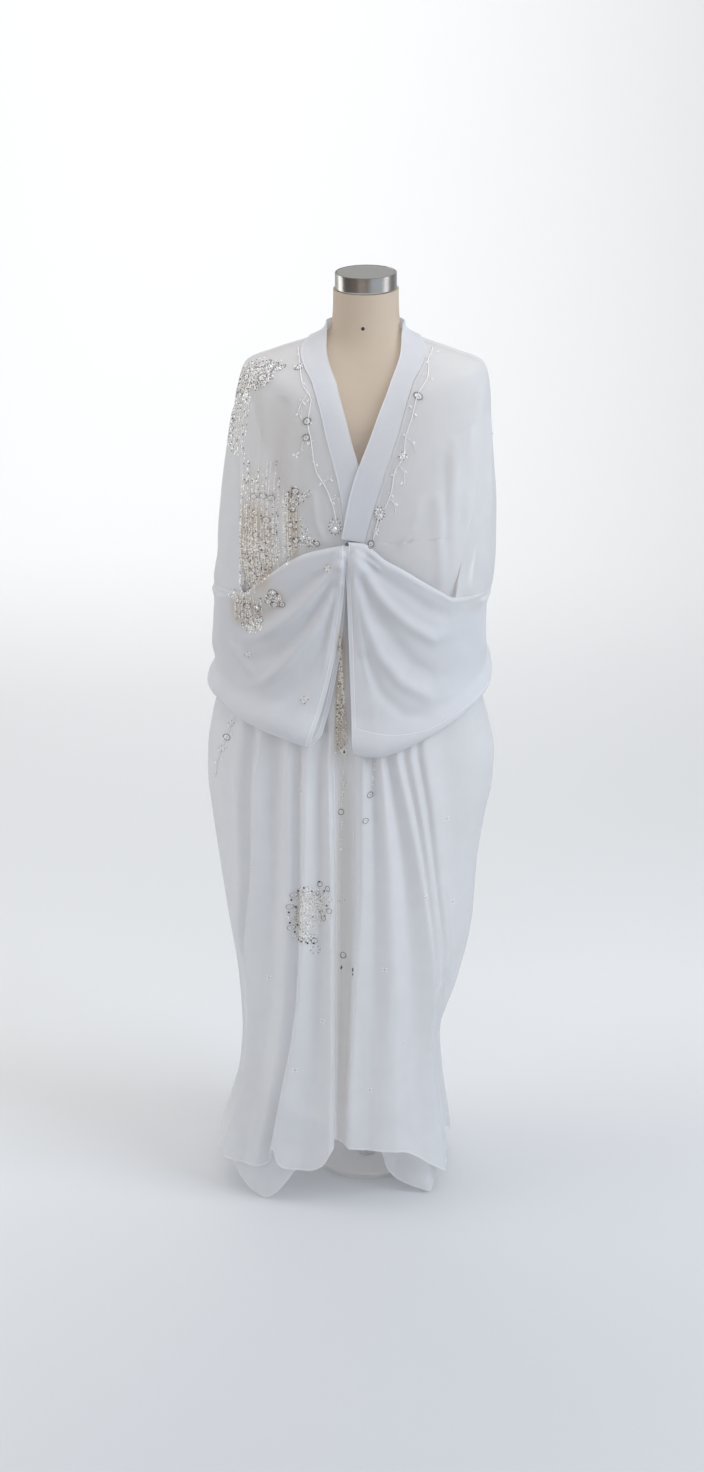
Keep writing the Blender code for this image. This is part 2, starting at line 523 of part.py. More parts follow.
def hem_levels(columns, start_level, hem, rows):
    """Levels of the last rows of a panel, each column running evenly to its own hem."""
    angles = np.asarray(columns)
    ends = LEVEL_AT_WAIST + (WAIST_Z - smooth_between(hem[0], hem[1], angles)) / LEVEL_DROP
    return [start_level + (ends - start_level) * step / rows for step in range(1, rows + 1)]


def build_front(side):
    hem = RIGHT_HEM if side == "right" else LEFT_HEM
    rows = []
    for level in (PANEL_TOP_LEVEL,) + BODICE_LEVELS + SKIRT_LEVELS:
        columns, lifts = front_columns(side, level)
        rows.append(cloth_point(columns, level, lifts))
    last_columns = columns
    for step in range(HEM_ROWS):
        guess = SLIT_LEVEL + (FRONT_HEM_LEVEL - SLIT_LEVEL) * (step + 1) / HEM_ROWS
        columns, lifts = front_columns(side, guess)
        levels = hem_levels(columns, SLIT_LEVEL, hem, HEM_ROWS)[step]
        rows.append(cloth_point(columns, levels, lifts))
    grid = np.array(rows)
    if side == "right":
        grid = grid[:, ::-1]
    sheet = Sheet()
    sheet.add_grid(grid)
    add_sheet("front_" + side, sheet, "chiffon_white")
    return last_columns


def back_lift(angle, z):
    """Soft folds down the back, and the tuck that carries the side corners inside the front panels."""
    depth = BACK_FOLD_DEPTH * ramp(z, 1.25, 0.35)
    wave = np.sin(np.radians(angle * BACK_FOLDS) + 0.9 * np.sin(np.radians(angle * 4)))
    clear = ramp(angle, 92, 106) * ramp(angle, 268, 254)
    tuck = ramp(z, 0.43, 0.38) * np.maximum(ramp(angle, 100, 91), ramp(angle, 260, 269))
    curl_left = BACK_CURL["left"] * ramp(angle, 58, 40) * ramp(z, 0.24, 0.05)
    curl_right = BACK_CURL["right"] * ramp(angle, 300, 318) * ramp(z, 0.24, 0.05)
    return wave * depth * clear - BACK_TUCK * tuck - curl_left - curl_right


def build_back():
    gap = math.degrees(SEAM_GAP / SIDE_REACH) / 2
    rows = []
    share = np.linspace(0, 1, BACK_COLUMNS)
    all_levels = [(level, None) for level in (PANEL_TOP_LEVEL,) + BODICE_LEVELS + SKIRT_LEVELS]
    all_levels += [(SLIT_LEVEL + (BACK_HEM_LEVEL - SLIT_LEVEL) * step / HEM_ROWS, step) for step in range(1, HEM_ROWS + 1)]
    for level, step in all_levels:
        start = float(side_edge("left", level, ARMHOLE_BACK)) + gap
        end = 360 + float(side_edge("right", level, ARMHOLE_BACK)) - gap
        z = float(height_of(level))
        start -= float(smooth_between(BACK_EDGE_HEIGHTS[::-1], BACK_EDGE_TURN["left"][::-1], z))
        end += float(smooth_between(BACK_EDGE_HEIGHTS[::-1], BACK_EDGE_TURN["right"][::-1], z))
        columns = start + (end - start) * share
        if step is None:
            levels = np.full(columns.shape, level)
        else:
            levels = hem_levels(columns, SLIT_LEVEL, BACK_HEM, HEM_ROWS)[step - 1]
        heights = ring_point(BODY_RINGS, columns, levels)[:, 2]
        rows.append(cloth_point(columns, levels, back_lift(columns, heights)))
    sheet = Sheet()
    sheet.add_grid(np.array(rows))
    add_sheet("back", sheet, "chiffon_white")


def sleeve_fold(side, angle, z):
    """How far the sleeve's own folds stand out at a place on it."""
    total = np.zeros(np.broadcast(angle, z).shape)
    place = np.stack(np.broadcast_arrays(np.asarray(angle) * ARC_PER_DEGREE, z), axis=-1)
    for points, depth, width in SLEEVE_FOLDS[side]:
        line = np.array([(a * ARC_PER_DEGREE, h) for a, h in points])
        nearest = np.full(total.shape, np.inf)
        for start, end in zip(line[:-1], line[1:]):
            along = end - start
            t = np.clip(((place - start) @ along) / (along @ along), 0, 1)
            nearest = np.minimum(nearest, np.linalg.norm(place - start - t[..., None] * along, axis=-1))
        total += depth * np.exp(-((nearest / width) ** 2))
    return total


def inner_lift(share):
    """Distance of the sleeve's inner layer from the body, by share of the way down."""
    return INNER_GAP + TOP_SWELL * ramp(share, TOP_ROUND, 0.0) + BOTTOM_SWELL * ramp(share, 0.80, 1.0)


def outer_lift(share, swell):
    """Distance of the outer layer: rounded folds at the top and bottom, fuller below."""
    top = np.sqrt(1 - (1 - np.clip(share / TOP_ROUND, 0, 1)) ** 2)
    bottom = np.sqrt(1 - (1 - np.clip((1 - share) / BOTTOM_ROUND, 0, 1)) ** 2)
    gap = LAYER_GAP + (swell - LAYER_GAP_BELOW) * np.asarray(share) ** 1.4
    return inner_lift(share) + gap * top * bottom


def sleeve_column(side, place):
    """One column of the sleeve, as (angle, level, lift) down the outer layer and up the inner layer."""
    table = np.array(RIGHT_SLEEVE if side == "right" else LEFT_SLEEVE)
    index = np.arange(len(table))
    values = [float(smooth_between(index, table[:, i], place)) for i in range(len(SLEEVE_COLUMNS))]
    top_angle, top_z, bottom_angle, bottom_z, swell = values
    closed = place <= ELBOW_COLUMN[side] + 1e-6
    outer = np.array(OUTER_STOPS)
    inner = np.array(INNER_STOPS)
    if closed:
        inner = np.append(inner, 0.0)
    else:
        free = SLEEVE_FREE_DROP / (top_z - bottom_z)
        inner = np.append(free + (1 - free) * inner, free)
    share = np.concatenate([outer, inner])
    angle = top_angle + (bottom_angle - top_angle) * share
    z = top_z + (bottom_z - top_z) * share
    inside = np.arange(len(share)) >= len(outer)
    if side == "right":
        slant = CUFF_SLANT * ramp(place, 2.0, 0.0)
        angle = angle + np.where(inside & (share < 1.0), slant * share, 0.0)
    lift = np.where(inside, inner_lift(share), outer_lift(share, swell))
    if not closed:
        opened = float(ramp(place, ELBOW_COLUMN[side], ELBOW_COLUMN[side] + 2.0))
        plain = inner_lift(0.0) + (outer_lift(np.float64(0.5), swell) - inner_lift(0.0)) * ramp(share, 0.0, 0.5)
        smooth = np.where(share < 0.5, plain, lift)
        outside = lift + (smooth - lift) * opened
        lift = np.where(inside, INNER_GAP + BOTTOM_SWELL * ramp(share, 0.80, 1.0), outside)
    stand_out = sleeve_fold(side, angle, z) * ramp(share, 0.0, 0.10) * ramp(share, 1.0, 0.86)
    lift = np.where(inside, lift, lift + stand_out)
    return angle, level_at(angle, z), lift


def build_sleeve(side):
    """A wide sleeve: one layer over the upper arm, then a bag across the front, open at the cuff."""
    table = RIGHT_SLEEVE if side == "right" else LEFT_SLEEVE
    places = np.arange((len(table) - 1) * SLEEVE_STEPS + 1) / SLEEVE_STEPS
    columns = []
    for place in places:
        angle, level, lift = sleeve_column(side, place)
        columns.append(cloth_point(angle, level, lift))
    bag = np.array(columns).transpose(1, 0, 2)
    first_upper = ELBOW_COLUMN[side] * SLEEVE_STEPS
    gap = math.degrees(SEAM_GAP / SIDE_REACH) / 2
    toward = -1.0 if side == "right" else 1.0
    rows = []
    levels = [level for level in BODICE_LEVELS if SHOULDER_LEVEL <= level < SLEEVE_LEVEL - 0.3]
    last = [sleeve_column(side, place) for place in places[first_upper:]]
    last_angles = np.array([column[0][0] for column in last])
    share = (last_angles - last_angles[0]) / (last_angles[-1] - last_angles[0])
    for level in levels:
        start = float(side_edge(side, level, ARMHOLE_FRONT)) + toward * gap
        end = float(side_edge(side, level, ARMHOLE_BACK)) - toward * gap
        lift = inner_lift(0.0) * float(ramp(level, 7.3, SLEEVE_LEVEL))
        rows.append(cloth_point(start + (end - start) * share, level, lift))
    rows.append(bag[0, first_upper:])
    upper = np.array(rows)
    sheet = Sheet()
    if side == "right":
        sheet.add_grid(bag[:, ::-1])
        sheet.add_grid(upper[:, ::-1])
    else:
        sheet.add_grid(bag)
        sheet.add_grid(upper)
    add_sheet("sleeve_" + side, sheet, "chiffon_white")


def build_band():
    """A double strip of cloth from the hook, round the neck and back to the hook, its left end on top."""
    stations = []
    front_levels = [NECK_LEVEL] + [level for level in BODICE_LEVELS if level <= HOOK_LEVEL]
    for side, levels in (("right", front_levels[::-1]), ("left", front_levels)):
        if side == "left":
            for step in range(1, BACK_NECK_STEPS):
                share = step / BACK_NECK_STEPS
                ends = []
                for edge in (BAND_OUTER, BAND_INNER):
                    start, end = edge["right"][0], edge["left"][0] - 360
                    ends.append(start + (end - start) * share)
                stations.append((ends[0], NECK_LEVEL, ends[1], BAND_INNER_LEVEL[0], BAND_REST_LIFT))
        for level in levels:
            outer_angle = float(smooth_between(BAND_KNOTS, BAND_OUTER[side], level))
            inner_angle = float(smooth_between(BAND_KNOTS, BAND_INNER[side], level))
            inner_level = float(smooth_between(BAND_KNOTS, BAND_INNER_LEVEL, level))
            lift = float(smooth_between(BAND_KNOTS, BAND_LIFT[side], level))
            stations.append((outer_angle, level, inner_angle, inner_level, lift))
    rows = []
    for outer_angle, outer_level, inner_angle, inner_level, lift in stations:
        share = np.linspace(0, 1, BAND_STRIPS + 1)
        angle = outer_angle + (inner_angle - outer_angle) * share
        level = outer_level + (inner_level - outer_level) * share
        rows.append(cloth_point(angle, level, lift))
    grid = np.array(rows)
    sheet = Sheet()
    sheet.add_grid(grid)
    add_sheet("neckband", sheet, "band_white", BAND_THICK)


def build_snap():
    centre = cloth_point(SNAP_ANGLE, SNAP_LEVEL, SNAP_LIFT + SNAP_THICK)
    outward = ring_normal(BODY_RINGS, SNAP_ANGLE, SNAP_LEVEL)
    across = np.cross(outward, (0.0, 0.0, 1.0))
    across /= np.linalg.norm(across)
    upward = np.cross(across, outward)
    turns = np.arange(SNAP_SIDES) * 2 * math.pi / SNAP_SIDES
    spokes = np.cos(turns)[:, None] * across - np.sin(turns)[:, None] * upward
    rings = [centre + spokes * SNAP_CROWN, centre + spokes * SNAP_RADIUS - outward * SNAP_ROUND,
             centre + spokes * SNAP_RADIUS - outward * SNAP_THICK]
    points, faces = stacked_rings(rings, centre - outward * SNAP_THICK, centre)
    add_object("waist_snap", points, faces, "snap_metal")


def main():
    for obj in list(bpy.data.objects):
        bpy.data.objects.remove(obj)
    build_form()
    build_stand()
    build_front("right")
    build_front("left")
    build_back()
    build_sleeve("right")
    build_sleeve("left")
    build_band()
    build_snap()


main()
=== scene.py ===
"""Looks of a sheer white abaya with draped batwing sleeves, worn by a limbless dress form on a stand.

Metres, +Z up. The front faces -Y and +X is the wearer's left. Every cloth piece is laid out on the same
rings as its solid, at a finer pitch, with its hems, seams, creases and beadwork.
"""

from __future__ import annotations

import logging
import math
from dataclasses import dataclass, field
from enum import Enum
from typing import Callable, Iterable, Sequence

import bpy
import numpy as np
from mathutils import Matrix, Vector
from mathutils.bvhtree import BVHTree


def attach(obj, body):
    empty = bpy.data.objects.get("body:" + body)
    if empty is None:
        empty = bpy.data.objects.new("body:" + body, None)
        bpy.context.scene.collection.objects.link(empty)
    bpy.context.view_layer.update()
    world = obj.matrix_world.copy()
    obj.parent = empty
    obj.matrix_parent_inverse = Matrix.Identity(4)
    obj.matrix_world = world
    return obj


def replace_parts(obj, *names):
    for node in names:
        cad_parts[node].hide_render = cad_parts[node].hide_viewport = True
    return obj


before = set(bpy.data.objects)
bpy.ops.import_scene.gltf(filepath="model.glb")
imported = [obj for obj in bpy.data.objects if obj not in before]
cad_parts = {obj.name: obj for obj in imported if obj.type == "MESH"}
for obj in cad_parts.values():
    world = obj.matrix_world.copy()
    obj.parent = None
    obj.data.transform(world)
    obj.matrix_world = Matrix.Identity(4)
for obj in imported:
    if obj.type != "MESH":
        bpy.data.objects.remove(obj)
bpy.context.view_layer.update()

log = logging.getLogger("abaya")

Array = np.ndarray
Numbers = Array | float
Triple = tuple[float, float, float]
# An angle from the front in degrees and a height in metres.
Spot = tuple[float, float]
Face = tuple[int, ...]
# A crease's line, its stand-out in metres and its half width.
Crease = tuple[tuple[Spot, ...], float, float]
Socket = bpy.types.NodeSocket
Material = bpy.types.Material
Piece = bpy.types.Object

SHELL = 0.0008
BAND_SHELL = 0.0016
SEAM_GAP = 0.0002
BAND_EDGE_GAP = 0.0006
HEM_WIDTH = 0.007
# Stands for a point that is far from any hem or seam.
FAR = 0.05

# Rough distances from the axis, used to turn millimetres into degrees.
FRONT_REACH = 0.16
BAND_REACH = 0.15
SIDE_REACH = 0.2
ARC_PER_DEGREE = 0.0027


class Side(Enum):
    """The wearer's two sides."""

    RIGHT = "right"
    LEFT = "left"

    @property
    def sign(self) -> float:
        """The side's direction along X."""
        return -1.0 if self is Side.RIGHT else 1.0


class Slot(Enum):
    """The record's material slots."""

    CHIFFON = "chiffon_white"
    BAND = "band_white"
    JERSEY = "form_beige"
    STEEL = "cap_steel"
    PAINT = "stand_white"
    SNAP = "snap_metal"


def smooth_between(xs: Sequence[float], ys: Sequence[float], x: Numbers) -> Array:
    """A curve through knots that never overshoots them.

    Args:
        xs: The knots' places, rising.
        ys: The knots' values.
        x: Where the curve is read; outside the knots it holds their end values.

    Returns:
        The curve's values at x.
    """
    xs = np.asarray(xs, float)
    ys = np.asarray(ys, float)
    x = np.clip(np.asarray(x, float), xs[0], xs[-1])
    steps = np.diff(xs)
    slopes = np.diff(ys) / steps
    before, after = slopes[:-1], slopes[1:]
    total = before + after
    mean = 2 * before * after / np.where(total == 0, 1, total)
    tangents = np.concatenate([slopes[:1], np.where(before * after > 0, mean, 0), slopes[-1:]])
    i = np.clip(np.searchsorted(xs, x, side="right") - 1, 0, len(xs) - 2)
    t = (x - xs[i]) / steps[i]
    start = (2 * t**3 - 3 * t**2 + 1) * ys[i] + (t**3 - 2 * t**2 + t) * steps[i] * tangents[i]
    end = (3 * t**2 - 2 * t**3) * ys[i + 1] + (t**3 - t**2) * steps[i] * tangents[i + 1]
    return start + end


def ramp(x: Numbers, low: float, high: float) -> Array:
    """Eases from 0 at low to 1 at high; low may be the larger.

    Args:
        x: Where it is read.
        low: Where it is 0.
        high: Where it is 1.

    Returns:
        The eased share, from 0 to 1.
    """
    t = np.clip((np.asarray(x, float) - low) / (high - low), 0, 1)
    return t * t * (3 - 2 * t)


@dataclass(frozen=True)
class Rings:
    """Stacked rings round the upright axis that cloth or padding is laid on.

    Each row is level, side z, front z, back z, right half, left half, front depth, back depth, squareness.
    """

    rows: tuple[tuple[float, ...], ...]

    @property
    def table(self) -> Array:
        """The rows as an array."""
        return np.array(self.rows)

    def point(self, angle: Numbers, level: Numbers) -> Array:
        """The point at an angle from the front, plus toward the wearer's left, and at a level."""
        table = self.table
        angle, level = np.broadcast_arrays(np.asarray(angle, float), np.asarray(level, float))
        side_z, front_z, back_z, right, left, front, back, square = (
            smooth_between(table[:, 0], table[:, i], level) for i in range(1, table.shape[1])
        )
        s, c = np.sin(np.radians(angle)), np.cos(np.radians(angle))
        half = np.where(s > 0, left, right)
        depth = np.where(c > 0, front, back)
        radius = ((np.abs(s) / half) ** square + (np.abs(c) / depth) ** square) ** (-1 / square)
        z = side_z + (np.where(c > 0, front_z, back_z) - side_z) * c**2
        return np.stack([radius * s, -radius * c, z], axis=-1)

    def normal(self, angle: Numbers, level: Numbers) -> Array:
        """The outward direction there."""
        angle, level = np.broadcast_arrays(np.asarray(angle, float), np.asarray(level, float))
        across = self.point(angle + 0.5, level) - self.point(angle - 0.5, level)
        down = self.point(angle, level + 0.05) - self.point(angle, level - 0.05)
        normal = np.cross(down, across)
        normal /= np.linalg.norm(normal, axis=-1, keepdims=True)
        turn = np.radians(angle)
        outward = normal[..., 0] * np.sin(turn) - normal[..., 1] * np.cos(turn)
        return normal * np.where(outward < 0, -1.0, 1.0)[..., None]

    def lifted(self, angle: Numbers, level: Numbers, lift: Numbers) -> Array:
        """The point there, moved outward by lift."""
        angle, level, lift = np.broadcast_arrays(angle, level, lift)
        return self.point(angle, level) + self.normal(angle, level) * lift[..., None]

    def level_at(self, angle: Numbers, z: Numbers) -> Array:
        """The level whose ring passes through height z at this angle."""
        angle, z = np.broadcast_arrays(np.asarray(angle, float), np.asarray(z, float))
        low = np.full(angle.shape, self.rows[0][0])
        high = np.full(angle.shape, self.rows[-1][0])
        for _ in range(22):
            middle = (low + high) / 2
            above = self.point(angle, middle)[..., 2] > z
            low = np.where(above, middle, low)
            high = np.where(above, high, middle)
        return (low + high) / 2


LEVEL_AT_WAIST = 8.0
WAIST_Z = 1.13
LEVEL_DROP = 0.05
# Rings that dip in front and behind: level, side z, front z, back z, then the sizes of a flat ring.
UPPER_RINGS = (
    (-1, 1.514, 1.492, 1.522, 0.059, 0.0585, 0.057, 0.056, 2),
    (0, 1.489, 1.458, 1.494, 0.065, 0.063, 0.066, 0.061, 2),
    (1, 1.47, 1.42, 1.474, 0.093, 0.09, 0.085, 0.084, 2.1),
    (2, 1.451, 1.385, 1.446, 0.15, 0.146, 0.105, 0.104, 2.2),
    (3, 1.431, 1.35, 1.412, 0.196, 0.192, 0.119, 0.115, 2.3),
    (4, 1.391, 1.31, 1.368, 0.209, 0.202, 0.128, 0.121, 2.3),
    (5, 1.335, 1.27, 1.32, 0.218, 0.205, 0.132, 0.124, 2.3),
    (6, 1.27, 1.225, 1.262, 0.229, 0.21, 0.133, 0.126, 2.3),
    (7, 1.2, 1.18, 1.198, 0.239, 0.215, 0.132, 0.128, 2.3),
)
# Flat rings from the waist down: level, right half, left half, front depth, back depth, squareness.
LOWER_RINGS = (
    (8, 0.245, 0.215, 0.13, 0.13, 2.3),
    (9, 0.244, 0.204, 0.128, 0.132, 2.2),
    (10, 0.24, 0.19, 0.127, 0.135, 2.2),
    (11, 0.237, 0.186, 0.128, 0.138, 2.2),
    (12, 0.238, 0.188, 0.132, 0.142, 2.1),
    (13, 0.248, 0.195, 0.138, 0.146, 2.1),
    (14, 0.26, 0.208, 0.144, 0.15, 2),
    (15, 0.267, 0.217, 0.148, 0.154, 2),
    (16, 0.268, 0.215, 0.15, 0.157, 2),
    (17, 0.263, 0.205, 0.151, 0.16, 2),
    (19, 0.25, 0.19, 0.152, 0.166, 2),
    (21, 0.236, 0.183, 0.153, 0.173, 2),
    (23, 0.221, 0.161, 0.155, 0.181, 2),
    (25, 0.213, 0.13, 0.157, 0.19, 2.1),
    (26, 0.216, 0.126, 0.159, 0.195, 2.2),
    (27, 0.224, 0.129, 0.162, 0.201, 2.3),
    (28, 0.24, 0.135, 0.166, 0.208, 2.3),
    (29, 0.256, 0.143, 0.171, 0.216, 2.3),
    (30, 0.264, 0.148, 0.175, 0.225, 2.3),
    (31, 0.268, 0.15, 0.178, 0.23, 2.3),
)


def height_of(level: Numbers) -> Array:
    """The height of a level ring below the waist."""
    return WAIST_Z - (np.asarray(level, float) - LEVEL_AT_WAIST) * LEVEL_DROP


def level_of(z: Numbers) -> Array:
    """The level ring at a height below the waist."""
    return LEVEL_AT_WAIST + (WAIST_Z - np.asarray(z, float)) / LEVEL_DROP


BODY = Rings(UPPER_RINGS + tuple(
    (level, *[round(float(height_of(level)), 3)] * 3, *sizes) for level, *sizes in LOWER_RINGS
))


def crease_lift(creases: Iterable[Crease], angle: Array, z: Array) -> Array:
    """How far a set of soft creases stands out at a place.

    Args:
        creases: For each, its line as (angle, height) points, its stand-out in metres and its half width.
        angle: Angles of the places, in degrees.
        z: Their heights.

    Returns:
        The stand-out in metres, with every crease fading toward its ends.
    """
    place = np.stack(np.broadcast_arrays(np.asarray(angle) * ARC_PER_DEGREE, z), axis=-1)
    total = np.zeros(place.shape[:-1])
    for points, depth, width in creases:
        line = np.array([(a * ARC_PER_DEGREE, h) for a, h in points])
        lengths = np.linalg.norm(np.diff(line, axis=0), axis=1)
        starts = np.concatenate([[0.0], np.cumsum(lengths)])
        nearest = np.full(total.shape, np.inf)
        along = np.zeros(total.shape)
        for i in range(len(lengths)):
            step = line[i + 1] - line[i]
            t = np.clip(((place - line[i]) @ step) / lengths[i] ** 2, 0, 1)
            gap = np.linalg.norm(place - line[i] - t[..., None] * step, axis=-1)
            along = np.where(gap < nearest, (starts[i] + t * lengths[i]) / starts[-1], along)
            nearest = np.minimum(nearest, gap)
        fade = ramp(along, 0.0, 0.05) * ramp(along, 1.0, 0.72)
        total += depth * fade * np.exp(-((nearest / width) ** 2))
    return total


class Graph:
    """A material's node tree, with short ways to add nodes and link them."""

    def __init__(self, name: str) -> None:
        """Starts an empty tree for a new material.

        Args:
            name: The material's name.
        """
        self.material = bpy.data.materials.new(name)
        self.material.use_nodes = True
        self.tree = self.material.node_tree
        self.tree.nodes.clear()

    def add(
        self, kind: str, inputs: dict[str | int, object] | None = None, **settings: object
    ) -> bpy.types.Node:
        """Adds one node.

        Args:
            kind: Blender's type name for it.
            inputs: For each input, a plain value or an output socket that feeds it.
            settings: The node's own options.

        Returns:
            The new node.
        """
        node = self.tree.nodes.new(kind)
        for key, value in settings.items():
            setattr(node, key, value)
        for key, value in (inputs or {}).items():
            if isinstance(value, Socket):
                self.tree.links.new(value, node.inputs[key])
            else:
                node.inputs[key].default_value = value
        return node

    def maths(self, operation: str, *values: object, clamp: bool = False) -> Socket:
        """One sum on values or sockets, and its output."""
        inputs = dict(enumerate(values))
        return self.add("ShaderNodeMath", inputs, operation=operation, use_clamp=clamp).outputs[0]

    def cloth_place(self) -> Socket:
        """Each point's place in metres, along the cloth's own weave."""
        return self.add("ShaderNodeUVMap", uv_map="cloth").outputs["UV"]

    def solid_place(self) -> Socket:
        """Each point's place in metres, on the object itself."""
        return self.add("ShaderNodeTexCoord").outputs["Object"]

    def attribute(self, name: str) -> Socket:
        """A value that the mesh carries at its points."""
        return self.add("ShaderNodeAttribute", attribute_name=name).outputs["Fac"]

    def noise(self, place: Socket, pitch: float, detail: float = 2.0) -> Socket:
        """Cloudy noise about pitch metres across, read at place."""
        inputs = {"Vector": place, "Scale": 1 / pitch, "Detail": detail}
        return self.add("ShaderNodeTexNoise", inputs).outputs["Fac"]

    def threads(self, place: Socket, pitch: float, along: str) -> Socket:
        """Parallel threads pitch metres apart, counted along X or Y of place."""
        waves_per_unit = 20 / (2 * math.pi)
        inputs = {"Vector": place, "Scale": 1 / (pitch * waves_per_unit), "Distortion": 0.6, "Detail": 1.0}
        settings = {"wave_type": "BANDS", "bands_direction": along, "wave_profile": "SIN"}
        return self.add("ShaderNodeTexWave", inputs, **settings).outputs["Fac"]

    def colour_between(self, share: Socket, low: Triple | Socket, high: Triple) -> Socket:
        """A colour that goes from low to high with share."""
        start = low if isinstance(low, Socket) else (*low, 1.0)
        inputs = {"Factor": share, 6: start, 7: (*high, 1.0)}
        return self.add("ShaderNodeMix", inputs, data_type="RGBA").outputs[2]

    def share_between(self, value: Socket, low: float, high: float, **settings: str) -> Socket:
        """How far value is from low, where the share is 0, to high, where it is 1."""
        inputs = {0: value, 1: low, 2: high, 3: 0.0, 4: 1.0}
        return self.add("ShaderNodeMapRange", inputs, **settings).outputs[0]

    def bump(self, height: Socket, strength: float, distance: float) -> Socket:
        """A surface normal roughened by height, a value from 0 to 1, times distance in metres."""
        inputs = {"Height": height, "Strength": strength, "Distance": distance}
        return self.add("ShaderNodeBump", inputs).outputs["Normal"]

    def finish(self, shader: Socket) -> Material:
        """Links the shader to the output and gives the material."""
        self.add("ShaderNodeOutputMaterial", {"Surface": shader})
        return self.material

    def opaque(self, inputs: dict[str, object]) -> Material:
        """Gives the material with one plain shader that takes these inputs."""
        return self.finish(self.add("ShaderNodeBsdfPrincipled", inputs).outputs[0])


@dataclass(frozen=True)
class SheerCloth:
    """Chiffon: fine crepe threads that let part of the light straight through."""

    name: str
    colour: Triple
    shade: Triple
    cover: float
    hem_cover: float
    seam_cover: float
    glow: float = 0.28
    # The net's beige colour behind the beadwork, also laid on as painted shade of the beads and down the
    # recess between the front panels.
    net_and_shade: Triple = (0.74, 0.645, 0.55)
    hem_width: float = 0.0036
    line_cover: float = 0.03
    thread_pitch: float = 0.0007
    crepe_pitch: float = 0.0016
    cloud_pitch: float = 0.035
    net_pitch: float = 0.004
    seam_reach: float = 0.0056
    seam_width: float = 0.004
    stitch_width: float = 0.0006
    rim_width: float = 0.001

    def material(self) -> Material:
        """The cloth's material, denser in its hems and seams, and beige where net backs the beadwork or
        where shade is painted.
        """
        graph = Graph(self.name)
        place = graph.cloth_place()
        solid_place = graph.solid_place()
        warp = graph.threads(place, self.thread_pitch, "X")
        weft = graph.threads(place, self.thread_pitch, "Y")
        weave = graph.maths("MULTIPLY", warp, weft)
        crepe = graph.noise(solid_place, self.crepe_pitch, 3.0)
        cloud = graph.noise(solid_place, self.cloud_pitch, 3.0)
        edge = graph.attribute("edge")
        in_hem = graph.share_between(edge, self.hem_width, self.hem_width * 0.86)
        in_seam = graph.share_between(graph.attribute("seam"), self.seam_reach, self.seam_width)
        stitched = graph.maths("COMPARE", edge, self.hem_width * 0.9, self.stitch_width)
        at_rim = graph.maths("LESS_THAN", graph.maths("ABSOLUTE", edge), self.rim_width)
        texture = graph.maths("MULTIPLY_ADD", weave, 0.1, self.cover - 0.055)
        base = graph.maths("ADD", texture, graph.maths("MULTIPLY_ADD", cloud, 0.04, -0.02))
        hem_gain = graph.maths("MULTIPLY", in_hem, self.hem_cover - self.cover)
        seam_gain = graph.maths("MULTIPLY", in_seam, self.seam_cover - self.cover)
        line_gain = graph.maths("MULTIPLY", graph.maths("MAXIMUM", stitched, at_rim), self.line_cover)
        gain = graph.maths("ADD", graph.maths("MAXIMUM", hem_gain, seam_gain), line_gain)
        mesh_holes = graph.maths("ADD", graph.noise(solid_place, self.net_pitch), 0.45)
        # Net colour makes the cloth a little denser and beige: net behind the beadwork, and painted shade
        # of the beads and of the centre-front recess.
        net_and_shade_amount = graph.maths("MULTIPLY", graph.attribute("net_and_shade"), mesh_holes, clamp=True)
        gain = graph.maths("ADD", gain, graph.maths("MULTIPLY", net_and_shade_amount, 0.1))
        cover = graph.maths("ADD", base, gain, clamp=True)
        tone = graph.maths("MULTIPLY_ADD", crepe, 0.45, 0.0)
        tint = graph.maths("MULTIPLY_ADD", cloud, 0.7, tone)
        bare = graph.colour_between(tint, self.shade, self.colour)
        # The beige net colour, partly net behind the beads and partly painted shade.
        colour = graph.colour_between(net_and_shade_amount, bare, self.net_and_shade)
        height = graph.maths("MULTIPLY_ADD", weave, 0.4, crepe)
        normal = graph.bump(height, 0.35, 0.0003)
        looks = {"Base Color": colour, "Roughness": 0.82, "Sheen Weight": 0.22, "Sheen Roughness": 0.45}
        front = graph.add("ShaderNodeBsdfPrincipled", {**looks, "Normal": normal}).outputs[0]
        through = graph.add("ShaderNodeBsdfTranslucent", {"Color": colour, "Normal": normal}).outputs[0]
        fibre = graph.add("ShaderNodeMixShader", {0: self.glow, 1: front, 2: through}).outputs[0]
        clear = graph.add("ShaderNodeBsdfTransparent").outputs[0]
        return graph.finish(graph.add("ShaderNodeMixShader", {0: cover, 1: clear, 2: fibre}).outputs[0])


@dataclass(frozen=True)
class Jersey:
    """Stretch jersey over the dress form's padding: fine knit columns and a soft nap."""

    colour: Triple = (0.575, 0.475, 0.375)
    shade: Triple = (0.52, 0.42, 0.325)
    stitch_pitch: float = 0.0011

    def material(self) -> Material:
        """The jersey's material."""
        graph = Graph("form_jersey")
        place = graph.cloth_place()
        solid_place = graph.solid_place()
        ribs = graph.threads(place, self.stitch_pitch, "X")
        rows = graph.threads(place, self.stitch_pitch * 0.8, "Y")
        knit = graph.maths("MULTIPLY", ribs, rows)
        fuzz = graph.noise(solid_place, 0.0009, 3.0)
        cloud = graph.noise(solid_place, 0.06, 2.0)
        share = graph.maths("MULTIPLY_ADD", knit, 0.35, cloud)
        colour = graph.colour_between(share, self.shade, self.colour)
        height = graph.maths("MULTIPLY_ADD", fuzz, 0.5, knit)
        inputs = {
            "Base Color": colour,
            "Roughness": 0.9,
            "Sheen Weight": 0.18,
            "Sheen Roughness": 0.5,
            "Normal": graph.bump(height, 0.4, 0.0003),
        }
        return graph.opaque(inputs)


